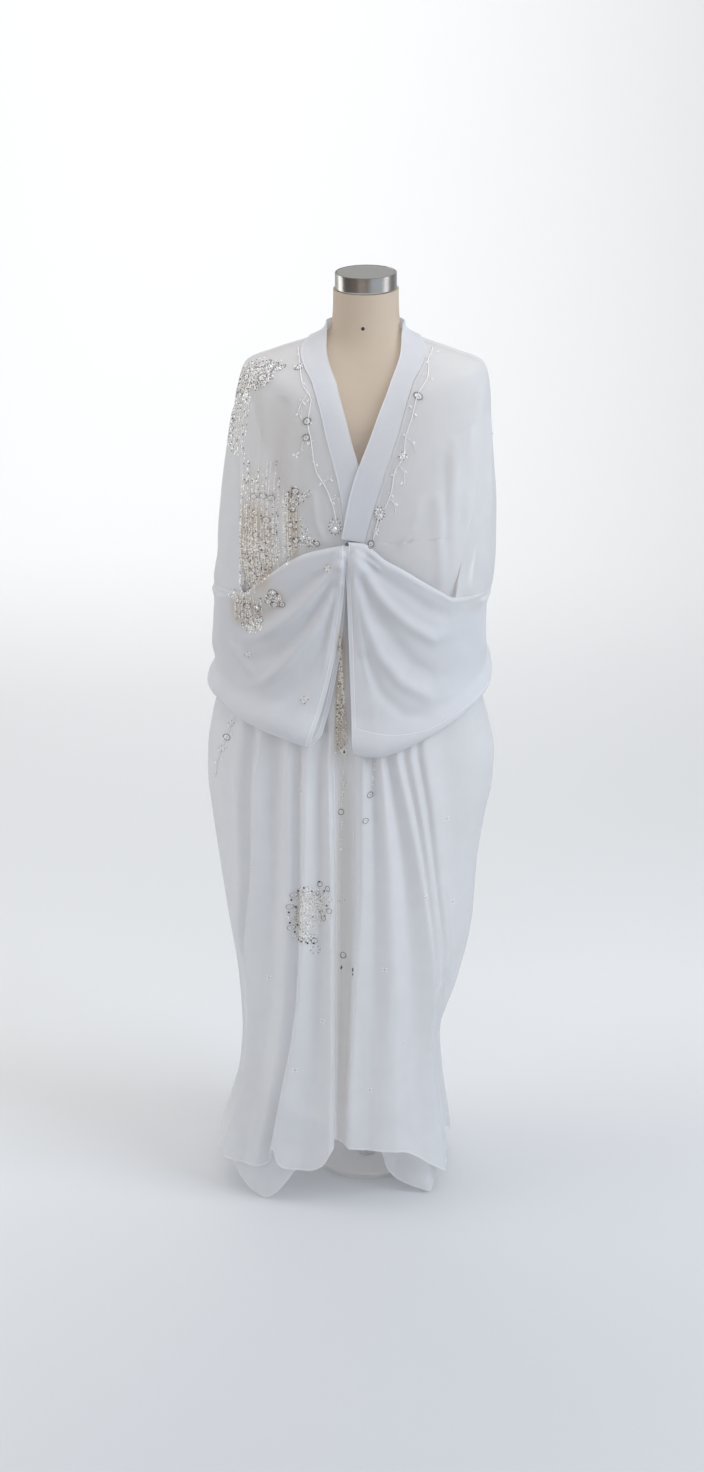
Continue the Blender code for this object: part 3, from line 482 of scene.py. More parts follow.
@dataclass(frozen=True)
class BrushedSteel:
    """Steel brushed round its axis."""

    colour: Triple = (0.62, 0.61, 0.595)
    shade: Triple = (0.5, 0.49, 0.475)
    scratches_per_metre: Triple = (60.0, 60.0, 5200.0)

    def material(self) -> Material:
        """The steel's material."""
        graph = Graph("cap_brushed_steel")
        solid_place = graph.solid_place()
        brushing = {"Vector": solid_place, "Scale": self.scratches_per_metre}
        stretched = graph.add("ShaderNodeMapping", brushing).outputs[0]
        scratches = graph.noise(stretched, 1.0, 4.0)
        smudge = graph.noise(solid_place, 0.018, 2.0)
        colour = graph.colour_between(scratches, self.shade, self.colour)
        inputs = {
            "Base Color": colour,
            "Metallic": 1.0,
            "Roughness": graph.maths("MULTIPLY_ADD", smudge, 0.08, 0.17),
            "Anisotropic": 0.7,
            "Normal": graph.bump(scratches, 0.12, 0.0002),
        }
        return graph.opaque(inputs)


@dataclass(frozen=True)
class Solid:
    """A plain finish whose colour and gloss vary a little over the surface."""

    name: str
    colour: Triple
    shade: Triple
    roughness: float
    metallic: float = 0.0
    coat: float = 0.0
    grain_pitch: float = 0.004
    bump_depth: float = 0.0001

    def material(self) -> Material:
        """The finish's material."""
        graph = Graph(self.name)
        solid_place = graph.solid_place()
        grain = graph.noise(solid_place, self.grain_pitch, 2.0)
        inputs = {
            "Base Color": graph.colour_between(grain, self.shade, self.colour),
            "Metallic": self.metallic,
            "Roughness": graph.maths("MULTIPLY_ADD", grain, 0.12, max(self.roughness - 0.06, 0.02)),
            "Coat Weight": self.coat,
            "Normal": graph.bump(grain, 0.3, self.bump_depth),
        }
        return graph.opaque(inputs)


CHIFFON = SheerCloth(
    "chiffon", (0.91, 0.915, 0.935), (0.87, 0.875, 0.895), cover=0.6, hem_cover=0.66, seam_cover=0.7
)
# The same chiffon on the sleeves, with its colour made a little darker as painted shade of their doubled,
# folded cloth; its wider hem and stronger stitch line are its own.
SWAG_CHIFFON = SheerCloth(
    "chiffon_sleeve", (0.895, 0.9, 0.925), (0.85, 0.855, 0.88), cover=0.6, hem_cover=0.68, seam_cover=0.7,
    hem_width=0.0075, line_cover=0.16
)
BAND_CLOTH = SheerCloth(
    "band_double", (0.865, 0.875, 0.915), (0.825, 0.835, 0.875), cover=0.74, hem_cover=0.84, seam_cover=0.84
)


class Shell:
    """A cloth surface made of grids whose shared edges are joined, then given a thin wall."""

    def __init__(self, name: str, thickness: float = SHELL) -> None:
        """Starts an empty surface.

        Args:
            name: The piece's name.
            thickness: Its wall, in metres.
        """
        self.name = name
        self.thickness = thickness
        self.grids: list[tuple[Array, ...]] = []

    def add_grid(
        self, grid: Array, arc: Array, edge: Array | None = None, seam: Array | None = None,
        net_and_shade: Array | None = None
    ) -> None:
        """Adds one grid.

        Args:
            grid: Points whose rows run downward and columns toward the wearer's left, seen from outside.
            arc: The cloth's own coordinates there, in metres, which the weave follows.
            edge: How far each point is from a hemmed edge, in metres.
            seam: How far each point is from a seam, in metres.
            net_and_shade: How much net colour lies there, from 0 to 1: net behind the beadwork, and painted
                shade of the beads and of the centre-front recess.
        """
        far = np.full(grid.shape[:2], FAR)
        none = np.zeros(grid.shape[:2])
        distances = (far if edge is None else edge, far if seam is None else seam)
        self.grids.append((grid, arc, *distances, none if net_and_shade is None else net_and_shade))

    def joined(self) -> tuple[Array, Array, Array]:
        """All grids as one surface: its points, what each one carries, and its four-sided faces."""
        points = np.concatenate([grid.reshape(-1, 3) for grid, *_ in self.grids])
        carried = np.concatenate([
            np.column_stack([arc.reshape(-1, 2)] + [value.ravel() for value in values])
            for _, arc, *values in self.grids
        ])
        faces = []
        start = 0
        for grid, *_ in self.grids:
            rows, columns = grid.shape[:2]
            ids = start + np.arange(rows * columns).reshape(rows, columns)
            quads = np.stack([ids[:-1, :-1], ids[1:, :-1], ids[1:, 1:], ids[:-1, 1:]], axis=-1)
            faces.append(quads.reshape(-1, 4))
            start += rows * columns
        faces = np.concatenate(faces)
        keys = np.round(points * 1e6).astype(np.int64)
        _, first, inverse = np.unique(keys, axis=0, return_index=True, return_inverse=True)
        faces = inverse.reshape(-1)[faces]
        return points[first], carried[first], faces

    def build(self, material: Material, slot: Slot) -> Piece:
        """Makes the object, with an outer face, an inner face and a rim between them.

        Args:
            material: The piece's material.
            slot: The record's slot that it takes its finish from; not used.

        Returns:
            The new object, which rides on the root body.
        """
        points, carried, faces = self.joined()
        corners = points[faces]
        face_normals = np.cross(corners[:, 2] - corners[:, 0], corners[:, 3] - corners[:, 1])
        normals = np.zeros_like(points)
        for i in range(4):
            np.add.at(normals, faces[:, i], face_normals)
        normals /= np.maximum(np.linalg.norm(normals, axis=1, keepdims=True), 1e-12)
        count = len(points)
        wall = normals * self.thickness / 2
        both = np.concatenate([points + wall, points - wall])
        starts = faces.reshape(-1)
        ends = np.roll(faces, -1, axis=1).reshape(-1)
        real = starts != ends
        forward = starts[real].astype(np.int64) * count + ends[real]
        backward = ends[real].astype(np.int64) * count + starts[real]
        open_edges = forward[~np.isin(forward, backward)]
        a, b = open_edges // count, open_edges % count
        rim = np.column_stack([b, a, a + count, b + count])
        everything = np.concatenate([faces, faces[:, ::-1] + count, rim])
        polygons = [tuple(dict.fromkeys(face)) for face in everything.tolist()]
        polygons = [face for face in polygons if len(face) > 2]
        mesh = bpy.data.meshes.new(self.name)
        mesh.from_pydata(both.tolist(), [], polygons)
        for i, attribute in ((2, "edge"), (3, "seam"), (4, "net_and_shade")):
            layer = mesh.attributes.new(attribute, "FLOAT", "POINT")
            layer.data.foreach_set("value", np.tile(carried[:, i], 2).astype(np.float32))
        loop_points = np.zeros(len(mesh.loops), np.int32)
        mesh.loops.foreach_get("vertex_index", loop_points)
        mesh.uv_layers.new(name="cloth").data.foreach_set(
            "uv", carried[loop_points % count, :2].astype(np.float32).ravel()
        )
        return dress(new_object(self.name, mesh), material)


def new_object(name: str, mesh: bpy.types.Mesh) -> Piece:
    """A smooth-shaded object for a mesh, in the scene."""
    mesh.validate()
    mesh.shade_smooth()
    mesh.set_sharp_from_angle(angle=math.radians(55))
    obj = bpy.data.objects.new(name, mesh)
    bpy.context.scene.collection.objects.link(obj)
    return obj


def dress(obj: Piece, material: Material) -> Piece:
    """Gives a piece its material and makes it ride on the root body."""
    obj.data.materials.clear()
    obj.data.materials.append(material)
    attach(obj, "root")
    return obj


def mesh_area(obj: Piece) -> float:
    """The area of one face of a thin shell, in square metres."""
    areas = np.zeros(len(obj.data.polygons), np.float32)
    obj.data.polygons.foreach_get("area", areas)
    return float(areas.sum() / 2)


# The band's outer edge, where the front panels are sewn to it, and its inner edge: level, then angle.
BAND_KNOTS = (0.95, 2.13, 4, 5.94, 7.4)
BAND_OUTER = {Side.RIGHT: (-86, -39, -22.5, -12.5, -9.5), Side.LEFT: (85.9, 41.4, 25.3, 12, 4.1)}
BAND_INNER = {Side.RIGHT: (-79, -22, -7.5, 2, 1), Side.LEFT: (78, 26.5, 9, -5.5, -12)}
BAND_INNER_LEVEL = (-0.38, 1.65, 3.45, 5.6, 7.3)
BAND_REST_LIFT = 0.0014
BAND_LIFT = {Side.RIGHT: (BAND_REST_LIFT,) * 5, Side.LEFT: (BAND_REST_LIFT, 0.002, 0.004, 0.0046, 0.0046)}

NECK_LEVEL = 0.95
PANEL_TOP_LEVEL = 0.92
SHOULDER_LEVEL = 3.25
HOOK_LEVEL = 7.4
BELOW_HOOK = HOOK_LEVEL + 0.01
UNDERARM_LEVEL = 10.7
SLIT_LEVEL = 23.0

# The fold where each sleeve leaves the body, in front and behind: level, then the angle for each side.
ARMHOLE_LEVELS = (3.25, 4.2, 5.5, 6.7, 7.9, 9.3)
ARMHOLE_FRONT = {
    Side.RIGHT: (-88.5, -75.5, -70.2, -67.6, -67, -65.5),
    Side.LEFT: (88.5, 75.5, 70.6, 66, 60.5, 58.5),
}
ARMHOLE_BACK = {
    Side.RIGHT: (-91.5, -103, -108, -111, -113, -115),
    Side.LEFT: (91.5, 103, 108, 111, 113, 115),
}
CENTRE_LEVELS = (7.55, 10.6, 14.6, 19, 24, 29.5)
CENTRE_ANGLES = (-8, -12, -16.2, -14.2, -13.7, -13.2)

# Skirt folds: angle at five heights, then millimetres out (+) or in (-) at those heights.
FOLD_HEIGHTS = (0.8, 0.6, 0.4, 0.16, 0.05)
FRONT_FOLDS = {
    Side.RIGHT: (
        ((-18.5, -16.8, -16.4, -16.2, -16.2), (6, 6, 7, 7, 7)),
        ((-24, -24, -25, -28, -29), (-7, -7, -7, -6, -4)),
        ((-31.1, -31.7, -34.5, -42.3, -44.5), (10, 11, 13, 16, 16)),
        ((-36, -36.4, -38.7, -45.5, -47.5), (-6, -7, -9, -10, -10)),
        ((-41.4, -41, -44.5, -51, -53), (8, 7, 5, 3, 2)),
        ((-48, -48.5, -53, -59, -59), (-8, -8, -6, -4, -4)),
        ((-54.5, -57.5, -67, -69, -67), (10, 10, 10, 9, 8)),
        ((-59.5, -62, -71, -74, -73), (-6, -6, -5, -4, -3)),
        ((-64, -66, -75, -79, -79), (8, 7, 5, 2, 2)),
        ((-71, -73, -81, -84, -84), (-6, -5, -3, -2, -2)),
    ),
    Side.LEFT: (
        ((-11.5, -11.2, -11, -11.6, -11.6), (-12, -14, -13, -9, -7)),
        ((-3.6, -3.8, -5.6, -8, -8.2), (-11, -13, -12, -8, -6)),
        ((3, 2.4, -0.4, -3.8, -4.2), (10, 11, 11, 9, 7)),
        ((9, 10.5, 10.5, 8, 7), (-5, -4, -3, -2, -2)),
        ((14.5, 19.6, 21.9, 22.5, 22.5), (7, 8, 8, 8, 7)),
        ((19, 29, 35, 42, 43), (-7, -7, -7, -6, -5)),
        ((24.2, 38, 48.5, 61, 63), (7, 8, 9, 8, 8)),
        ((28.5, 41, 51.5, 64.5, 66.5), (-1, 1, 2, 2, 2)),
        ((32.5, 44, 54.5, 68, 70), (6, 5, 3, 2, 2)),
        ((36.5, 47, 58, 71.5, 73.5), (-1, 0, 0, 0, 0)),
        ((40.5, 50.5, 62, 75, 77), (6, 5, 4, 3, 2)),
        ((52, 60, 69, 79, 81), (-6, -5, -4, -3, -2)),
        ((70, 75, 80, 84.5, 85.5), (3, 3, 2, 1, 1)),
    ),
}
FOLD_START_Z = 0.93
FOLD_FULL_Z = 0.79
FOLD_BLEND_Z = 1.0

FRONT_HEM = {
    Side.RIGHT: (
        (-90, -80, -74, -60, -50, -46.5, -43.8, -41, -38, -28, -20, -13),
        (0.1, 0.068, 0.06, 0.06, 0.066, 0.078, 0.106, 0.08, 0.072, 0.07, 0.081, 0.118),
    ),
    Side.LEFT: (
        (-13.5, -4, 10, 25, 40, 55, 66, 78, 90),
        (0.132, 0.118, 0.113, 0.108, 0.085, 0.052, 0.034, 0.04, 0.062),
    ),
}
# Behind, angles run on past 180 to the wearer's right. The two end corners turn forward onto the floor.
BACK_HEM = (
    (16, 22, 28, 35, 42, 50, 57, 64, 76, 90, 120, 150, 180, 210, 240,
     270, 288, 298, 306, 311, 317, 323, 329),
    (0.105, 0.086, 0.056, 0.042, 0.029, 0.014, 0.003, 0.02, 0.055, 0.08, 0.045, 0.022, 0.012, 0.018, 0.045,
     0.09, 0.06, 0.026, 0.008, 0.003, 0.02, 0.052, 0.085),
)
BACK_EDGE_HEIGHTS = (0, 0.11, 0.18, 0.25, 0.32, 0.38)
BACK_EDGE_TURN = {Side.LEFT: (74, 73, 55, 30, 9, 0), Side.RIGHT: (59, 57, 42, 22, 7, 0)}
BACK_TUCK = 0.0145
BACK_CURL = {Side.LEFT: 0.05, Side.RIGHT: 0.004}
BACK_FOLDS = 12
BACK_FOLD_DEPTH = 0.009


class ClothPiece:
    """One cut piece of cloth, laid out as a surface over its solid."""

    # The name of its solid, the slot of its cloth and its wall.
    node = ""
    slot = Slot.CHIFFON
    thickness = SHELL

    def lay_out(self, shell: Shell) -> None:
        """Adds the piece's grids to its shell."""
        raise NotImplementedError

    def build(self, material: Material) -> Piece:
        """Makes the piece in place of its solid.

        Args:
            material: Its cloth.

        Returns:
            The new object.
        """
        shell = Shell(self.node + "_cloth", self.thickness)
        self.lay_out(shell)
        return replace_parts(shell.build(material, self.slot), self.node)


def side_edge(side: Side, level: Numbers, table: dict[Side, tuple[float, ...]]) -> Array:
    """The angle of a panel's side edge: shoulder seam, armhole fold, then the side seam below the arm."""
    level = np.asarray(level, float)
    armhole = smooth_between(ARMHOLE_LEVELS, table[side], level)
    lowest = table[side][-1]
    closing = lowest + (side.sign * 90.0 - lowest) * ramp(level, ARMHOLE_LEVELS[-1], UNDERARM_LEVEL)
    angle = np.where(level > ARMHOLE_LEVELS[-1], closing, armhole)
    return np.where(level < SHOULDER_LEVEL, side.sign * 90.0, angle)


def centre_edge(side: Side, level: Numbers) -> Array:
    """The angle of a front panel's inner edge: along the band, then down the centre front."""
    level = np.asarray(level, float)
    band = smooth_between(BAND_KNOTS, BAND_OUTER[side], level)
    centre = smooth_between(CENTRE_LEVELS, CENTRE_ANGLES, level)
    return np.where(level > BELOW_HOOK, centre, band)


def distance_along(points: Array, backward: bool = False) -> Array:
    """How far each point of each row is from the row's first point, or from its last, along the row."""
    if backward:
        return distance_along(points[:, ::-1])[:, ::-1]
    steps = np.linalg.norm(np.diff(points, axis=1), axis=2)
    return np.concatenate([np.zeros((len(points), 1)), np.cumsum(steps, axis=1)], axis=1)


def distance_down(points: Array, backward: bool = False) -> Array:
    """How far each point of each column is from the column's top, or from its bottom, along the column."""
    return distance_along(points.transpose(1, 0, 2), backward).T


def side_distances(grid: Array, level: Array, from_side: Array) -> tuple[Array, Array]:
    """How far a panel's points are from its hem and open slit, and from its shoulder and side seams.

    Args:
        grid: The panel's points.
        level: Their levels.
        from_side: How far each is from a side edge.

    Returns:
        The distances from a hem and from a seam.
    """
    open_slit = level > SLIT_LEVEL
    seamed = ((level < SHOULDER_LEVEL) | (level > UNDERARM_LEVEL)) & ~open_slit
    edge = np.minimum(distance_down(grid, backward=True), np.where(open_slit, from_side, FAR))
    return edge, np.where(seamed, from_side, FAR)


# Patches of net colour: net behind the beadwork, and painted shade of the beads and down the recess between
# the front panels. Each is middle angle and height, half width in degrees, half height, strength.
NET_AND_SHADE_PATCHES = (
    (-59.5, 1.145, 8, 0.068, 1),
    (-58.5, 1.235, 8, 0.045, 0.18),
    (-47.5, 1.16, 3, 0.05, 0.18),
    (-41.5, 1.18, 3.2, 0.048, 0.9),
    (-41, 1.232, 2.6, 0.018, 0.45),
    (-63.5, 1.038, 7, 0.026, 0.7),
    (-55.5, 1.045, 5, 0.018, 0.4),
    (-49.5, 1.062, 3.5, 0.016, 0.7),
    (-79.5, 1.352, 5, 0.045, 0.6),
    (-13, 0.935, 3.2, 0.078, 1),
    (-11.8, 0.852, 4, 0.042, 1),
    (-29, 0.538, 9, 0.036, 0.08),
    (-36.5, 0.52, 3, 0.016, 0.25),
    # Painted shade down the recess between the front panels, where there is no beadwork.
    (-9.5, 0.48, 5, 0.34, 0.28),
    (-50, 1.275, 15, 0.105, 0.13),
)


def net_and_shade_share(angle: Array, z: Array) -> Array:
    """How much net colour shows at a place, from 0 to 1, with soft edges; it stands for net behind the
    beadwork and for painted shade.
    """
    angle, z = np.broadcast_arrays(angle, z)
    total = np.zeros(angle.shape)
    for middle, height, half_width, half_height, strength in NET_AND_SHADE_PATCHES:
        across, up = np.abs((angle - middle) / half_width), np.abs((z - height) / half_height)
        reach = (across**3 + up**3) ** (1 / 3)
        total = np.maximum(total, strength * ramp(reach, 1.3, 0.75))
    return total


@dataclass
class FrontPanel(ClothPiece):
    """One front panel, from the shoulder and the band's edge down to its own hem."""

    side: Side
    creases: tuple[Crease, ...]
    columns_per_fold: int = 10
    level_step: float = 0.11
    hem_rows: int = 56
    hem_guess: float = 29.2

    def columns(self, level: float) -> tuple[Array, Array]:
        """Angles and lifts of the panel's columns at one level, from its inner edge to its side edge.

        Args:
            level: The level ring.

        Returns:
            The columns' angles in degrees and how far each stands off the ring, in metres.
        """
        folds = FRONT_FOLDS[self.side]
        gap = math.degrees(SEAM_GAP / FRONT_REACH) / 2
        inner_gap = math.degrees(BAND_EDGE_GAP / BAND_REACH) if level <= HOOK_LEVEL else gap
        toward = self.side.sign
        z = float(height_of(level)) if level > LEVEL_AT_WAIST else WAIST_Z
        inner = float(centre_edge(self.side, level)) + toward * inner_gap
        outer = float(side_edge(self.side, level, ARMHOLE_FRONT)) - toward * gap
        heights = FOLD_HEIGHTS[::-1]
        angles = np.array([float(smooth_between(heights, places[::-1], z)) for places, _ in folds])
        depths = np.array([float(smooth_between(heights, out[::-1], z)) for _, out in folds]) / 1000
        depths *= float(ramp(z, FOLD_START_Z, FOLD_FULL_Z))
        even = inner + (outer - inner) * np.linspace(0, 1, len(folds) + 2)
        knots = np.concatenate([[inner], angles, [outer]])
        lifts = np.concatenate([[0.0], depths, [0.0]])
        knots = even + (knots - even) * float(ramp(z, FOLD_BLEND_Z, FOLD_FULL_Z + 0.04))
        places = np.arange((len(knots) - 1) * self.columns_per_fold + 1) / self.columns_per_fold
        columns = smooth_between(np.arange(len(knots)), knots, places)
        low = np.floor(places).astype(int).clip(0, len(knots) - 2)
        eased = ramp(places - low, 0, 1)
        return columns, lifts[low] + (lifts[low + 1] - lifts[low]) * eased

    @property
    def node(self) -> str:
        """The name of its solid."""
        return "front_" + self.side.value

    def lay_out(self, shell: Shell) -> None:
        """Adds the piece's grids to its shell.

        Args:
            shell: The surface that takes them.
        """
        upper = np.arange(PANEL_TOP_LEVEL, SLIT_LEVEL, self.level_step)
        upper = np.sort(np.append(upper, (HOOK_LEVEL, HOOK_LEVEL + 0.02, SLIT_LEVEL)))
        shares = np.arange(1, self.hem_rows + 1)[:, None] / self.hem_rows
        lower = SLIT_LEVEL + (self.hem_guess - SLIT_LEVEL) * shares
        rows = [self.columns(row) for row in np.append(upper, lower)]
        angle, lift = (np.array(values) for values in zip(*rows))
        ends = level_of(smooth_between(*FRONT_HEM[self.side], angle[-1]))
        level = np.concatenate([upper[:, None] + 0 * ends, SLIT_LEVEL + (ends - SLIT_LEVEL) * shares])
        heights = BODY.point(angle, level)[..., 2]
        grid = BODY.lifted(angle, level, lift + crease_lift(self.creases, angle, heights))
        from_inner = distance_along(grid)
        edge, seam = side_distances(grid, level, distance_along(grid, backward=True))
        below_hook = level > BELOW_HOOK
        edge = np.minimum(edge, np.where(below_hook, from_inner, FAR))
        seam = np.minimum(seam, np.where(below_hook, FAR, from_inner))
        arc = np.stack([from_inner, grid[..., 2]], axis=-1)
        if self.side is Side.RIGHT:
            grid, arc, edge, seam = grid[:, ::-1], arc[:, ::-1], edge[:, ::-1], seam[:, ::-1]
            angle, heights = angle[:, ::-1], heights[:, ::-1]
        # The net colour here: net behind the beadwork, and painted shade down the centre-front recess.
        shell.add_grid(grid, arc, edge, seam, net_and_shade_share(angle, heights))


@dataclass
class BackPanel(ClothPiece):
    """The back, one piece from shoulder to floor, whose side corners turn forward as tails."""

    node = "back"
    creases: tuple[Crease, ...]
    column_count: int = 150
    level_step: float = 0.13
    hem_rows: int = 60
    hem_guess: float = 30.5

    def lift(self, angle: Array, z: Array) -> Array:
        """Soft folds down the back, and the tuck that carries the side corners inside the front panels."""
        depth = BACK_FOLD_DEPTH * ramp(z, 1.25, 0.35)
        wave = np.sin(np.radians(angle * BACK_FOLDS) + 0.9 * np.sin(np.radians(angle * 4)))
        clear = ramp(angle, 92, 106) * ramp(angle, 268, 254)
        tuck = ramp(z, 0.43, 0.38) * np.maximum(ramp(angle, 100, 91), ramp(angle, 260, 269))
        curl_left = BACK_CURL[Side.LEFT] * ramp(angle, 58, 40) * ramp(z, 0.24, 0.05)
        curl_right = BACK_CURL[Side.RIGHT] * ramp(angle, 300, 318) * ramp(z, 0.24, 0.05)
        return wave * depth * clear - BACK_TUCK * tuck - curl_left - curl_right

    def lay_out(self, shell: Shell) -> None:
        """Adds the piece's grids to its shell.

        Args:
            shell: The surface that takes them.
        """
        gap = math.degrees(SEAM_GAP / SIDE_REACH) / 2
        share = np.linspace(0, 1, self.column_count)
        upper = np.append(np.arange(PANEL_TOP_LEVEL, SLIT_LEVEL, self.level_step), SLIT_LEVEL)
        lower = SLIT_LEVEL + (self.hem_guess - SLIT_LEVEL) * np.arange(1, self.hem_rows + 1) / self.hem_rows
        angles, levels = [], []
        for level in np.concatenate([upper, lower]):
            z = float(height_of(level))
            start = float(side_edge(Side.LEFT, level, ARMHOLE_BACK)) + gap
            end = 360 + float(side_edge(Side.RIGHT, level, ARMHOLE_BACK)) - gap
            start -= float(smooth_between(BACK_EDGE_HEIGHTS, BACK_EDGE_TURN[Side.LEFT], z))
            end += float(smooth_between(BACK_EDGE_HEIGHTS, BACK_EDGE_TURN[Side.RIGHT], z))
            columns = start + (end - start) * share
            angles.append(columns)
            down = (level - SLIT_LEVEL) / (self.hem_guess - SLIT_LEVEL)
            curved = SLIT_LEVEL + (level_of(smooth_between(*BACK_HEM, columns)) - SLIT_LEVEL) * down
            levels.append(curved if level > SLIT_LEVEL else level + 0 * columns)
        angle, level = np.array(angles), np.array(levels)
        heights = BODY.point(angle, level)[..., 2]
        lift = self.lift(angle, heights) + crease_lift(self.creases, angle, heights)
        grid = BODY.lifted(angle, level, lift)
        from_left = distance_along(grid)
        edge, seam = side_distances(grid, level, np.minimum(from_left, distance_along(grid, backward=True)))
        seam = np.minimum(seam, distance_down(grid))
        arc = np.stack([from_left, grid[..., 2]], axis=-1)
        shell.add_grid(grid, arc, edge, seam)


# Each sleeve, from the cuff at the centre front round the elbow to the back: angle and height of its top
# fold and of its bottom fold, then how far the cloth swells at the bottom.
SLEEVE_FOLDS = {
    Side.RIGHT: (
        (-8.2, 1.158, -28.5, 0.82, 0.016),
        (-17, 1.153, -34, 0.824, 0.02),
        (-25.4, 1.148, -40, 0.829, 0.023),
        (-34, 1.141, -47, 0.836, 0.023),
        (-44.6, 1.123, -53, 0.842, 0.021),
        (-55, 1.096, -59.5, 0.851, 0.018),
        (-65.4, 1.066, -66, 0.863, 0.014),
        (-74, 1.066, -73, 0.875, 0.01),
        (-84, 1.066, -82, 0.886, 0.008),
        (-95, 1.066, -93, 0.905, 0.007),
        (-105, 1.066, -104, 0.93, 0.007),
        (-114.8, 1.066, -113, 0.96, 0.007),
    ),
    Side.LEFT: (
        (-9, 1.162, -2.3, 0.814, 0.018),
        (3, 1.16, 6, 0.809, 0.023),
        (10, 1.149, 13, 0.809, 0.026),
        (18.5, 1.132, 22, 0.815, 0.026),
        (28, 1.119, 31, 0.825, 0.024),
        (42, 1.094, 41, 0.838, 0.021),
        (50.5, 1.078, 51, 0.852, 0.017),
        (58.4, 1.066, 62, 0.87, 0.013),
        (70, 1.066, 73, 0.887, 0.01),
        (82, 1.066, 84, 0.905, 0.008),
        (94, 1.066, 95, 0.93, 0.007),
        (105, 1.066, 105, 0.95, 0.007),
        (114.8, 1.066, 114, 0.972, 0.007),
    ),
}
# The stitched fold along the bottom of the left sleeve: angles, then heights.
FOLD_SEAM = ((-8, -0.6, 20.5, 35.5, 53.5, 65.1, 80), (0.862, 0.857, 0.848, 0.852, 0.871, 0.887, 0.908))
ELBOW_COLUMN = {Side.RIGHT: 6, Side.LEFT: 7}
SLEEVE_LEVEL = 9.28
SLEEVE_FREE_DROP = 0.036
CUFF_SLANT = 4.5
CUFF_BEND = {Side.RIGHT: 0.55, Side.LEFT: 0.5}
TOP_ROUND = 0.06
BOTTOM_ROUND = 0.12
INNER_GAP = 0.0052
TOP_SWELL = 0.004
BOTTOM_SWELL = 0.012
LAYER_GAP = 0.009
LAYER_GAP_BELOW = 0.007


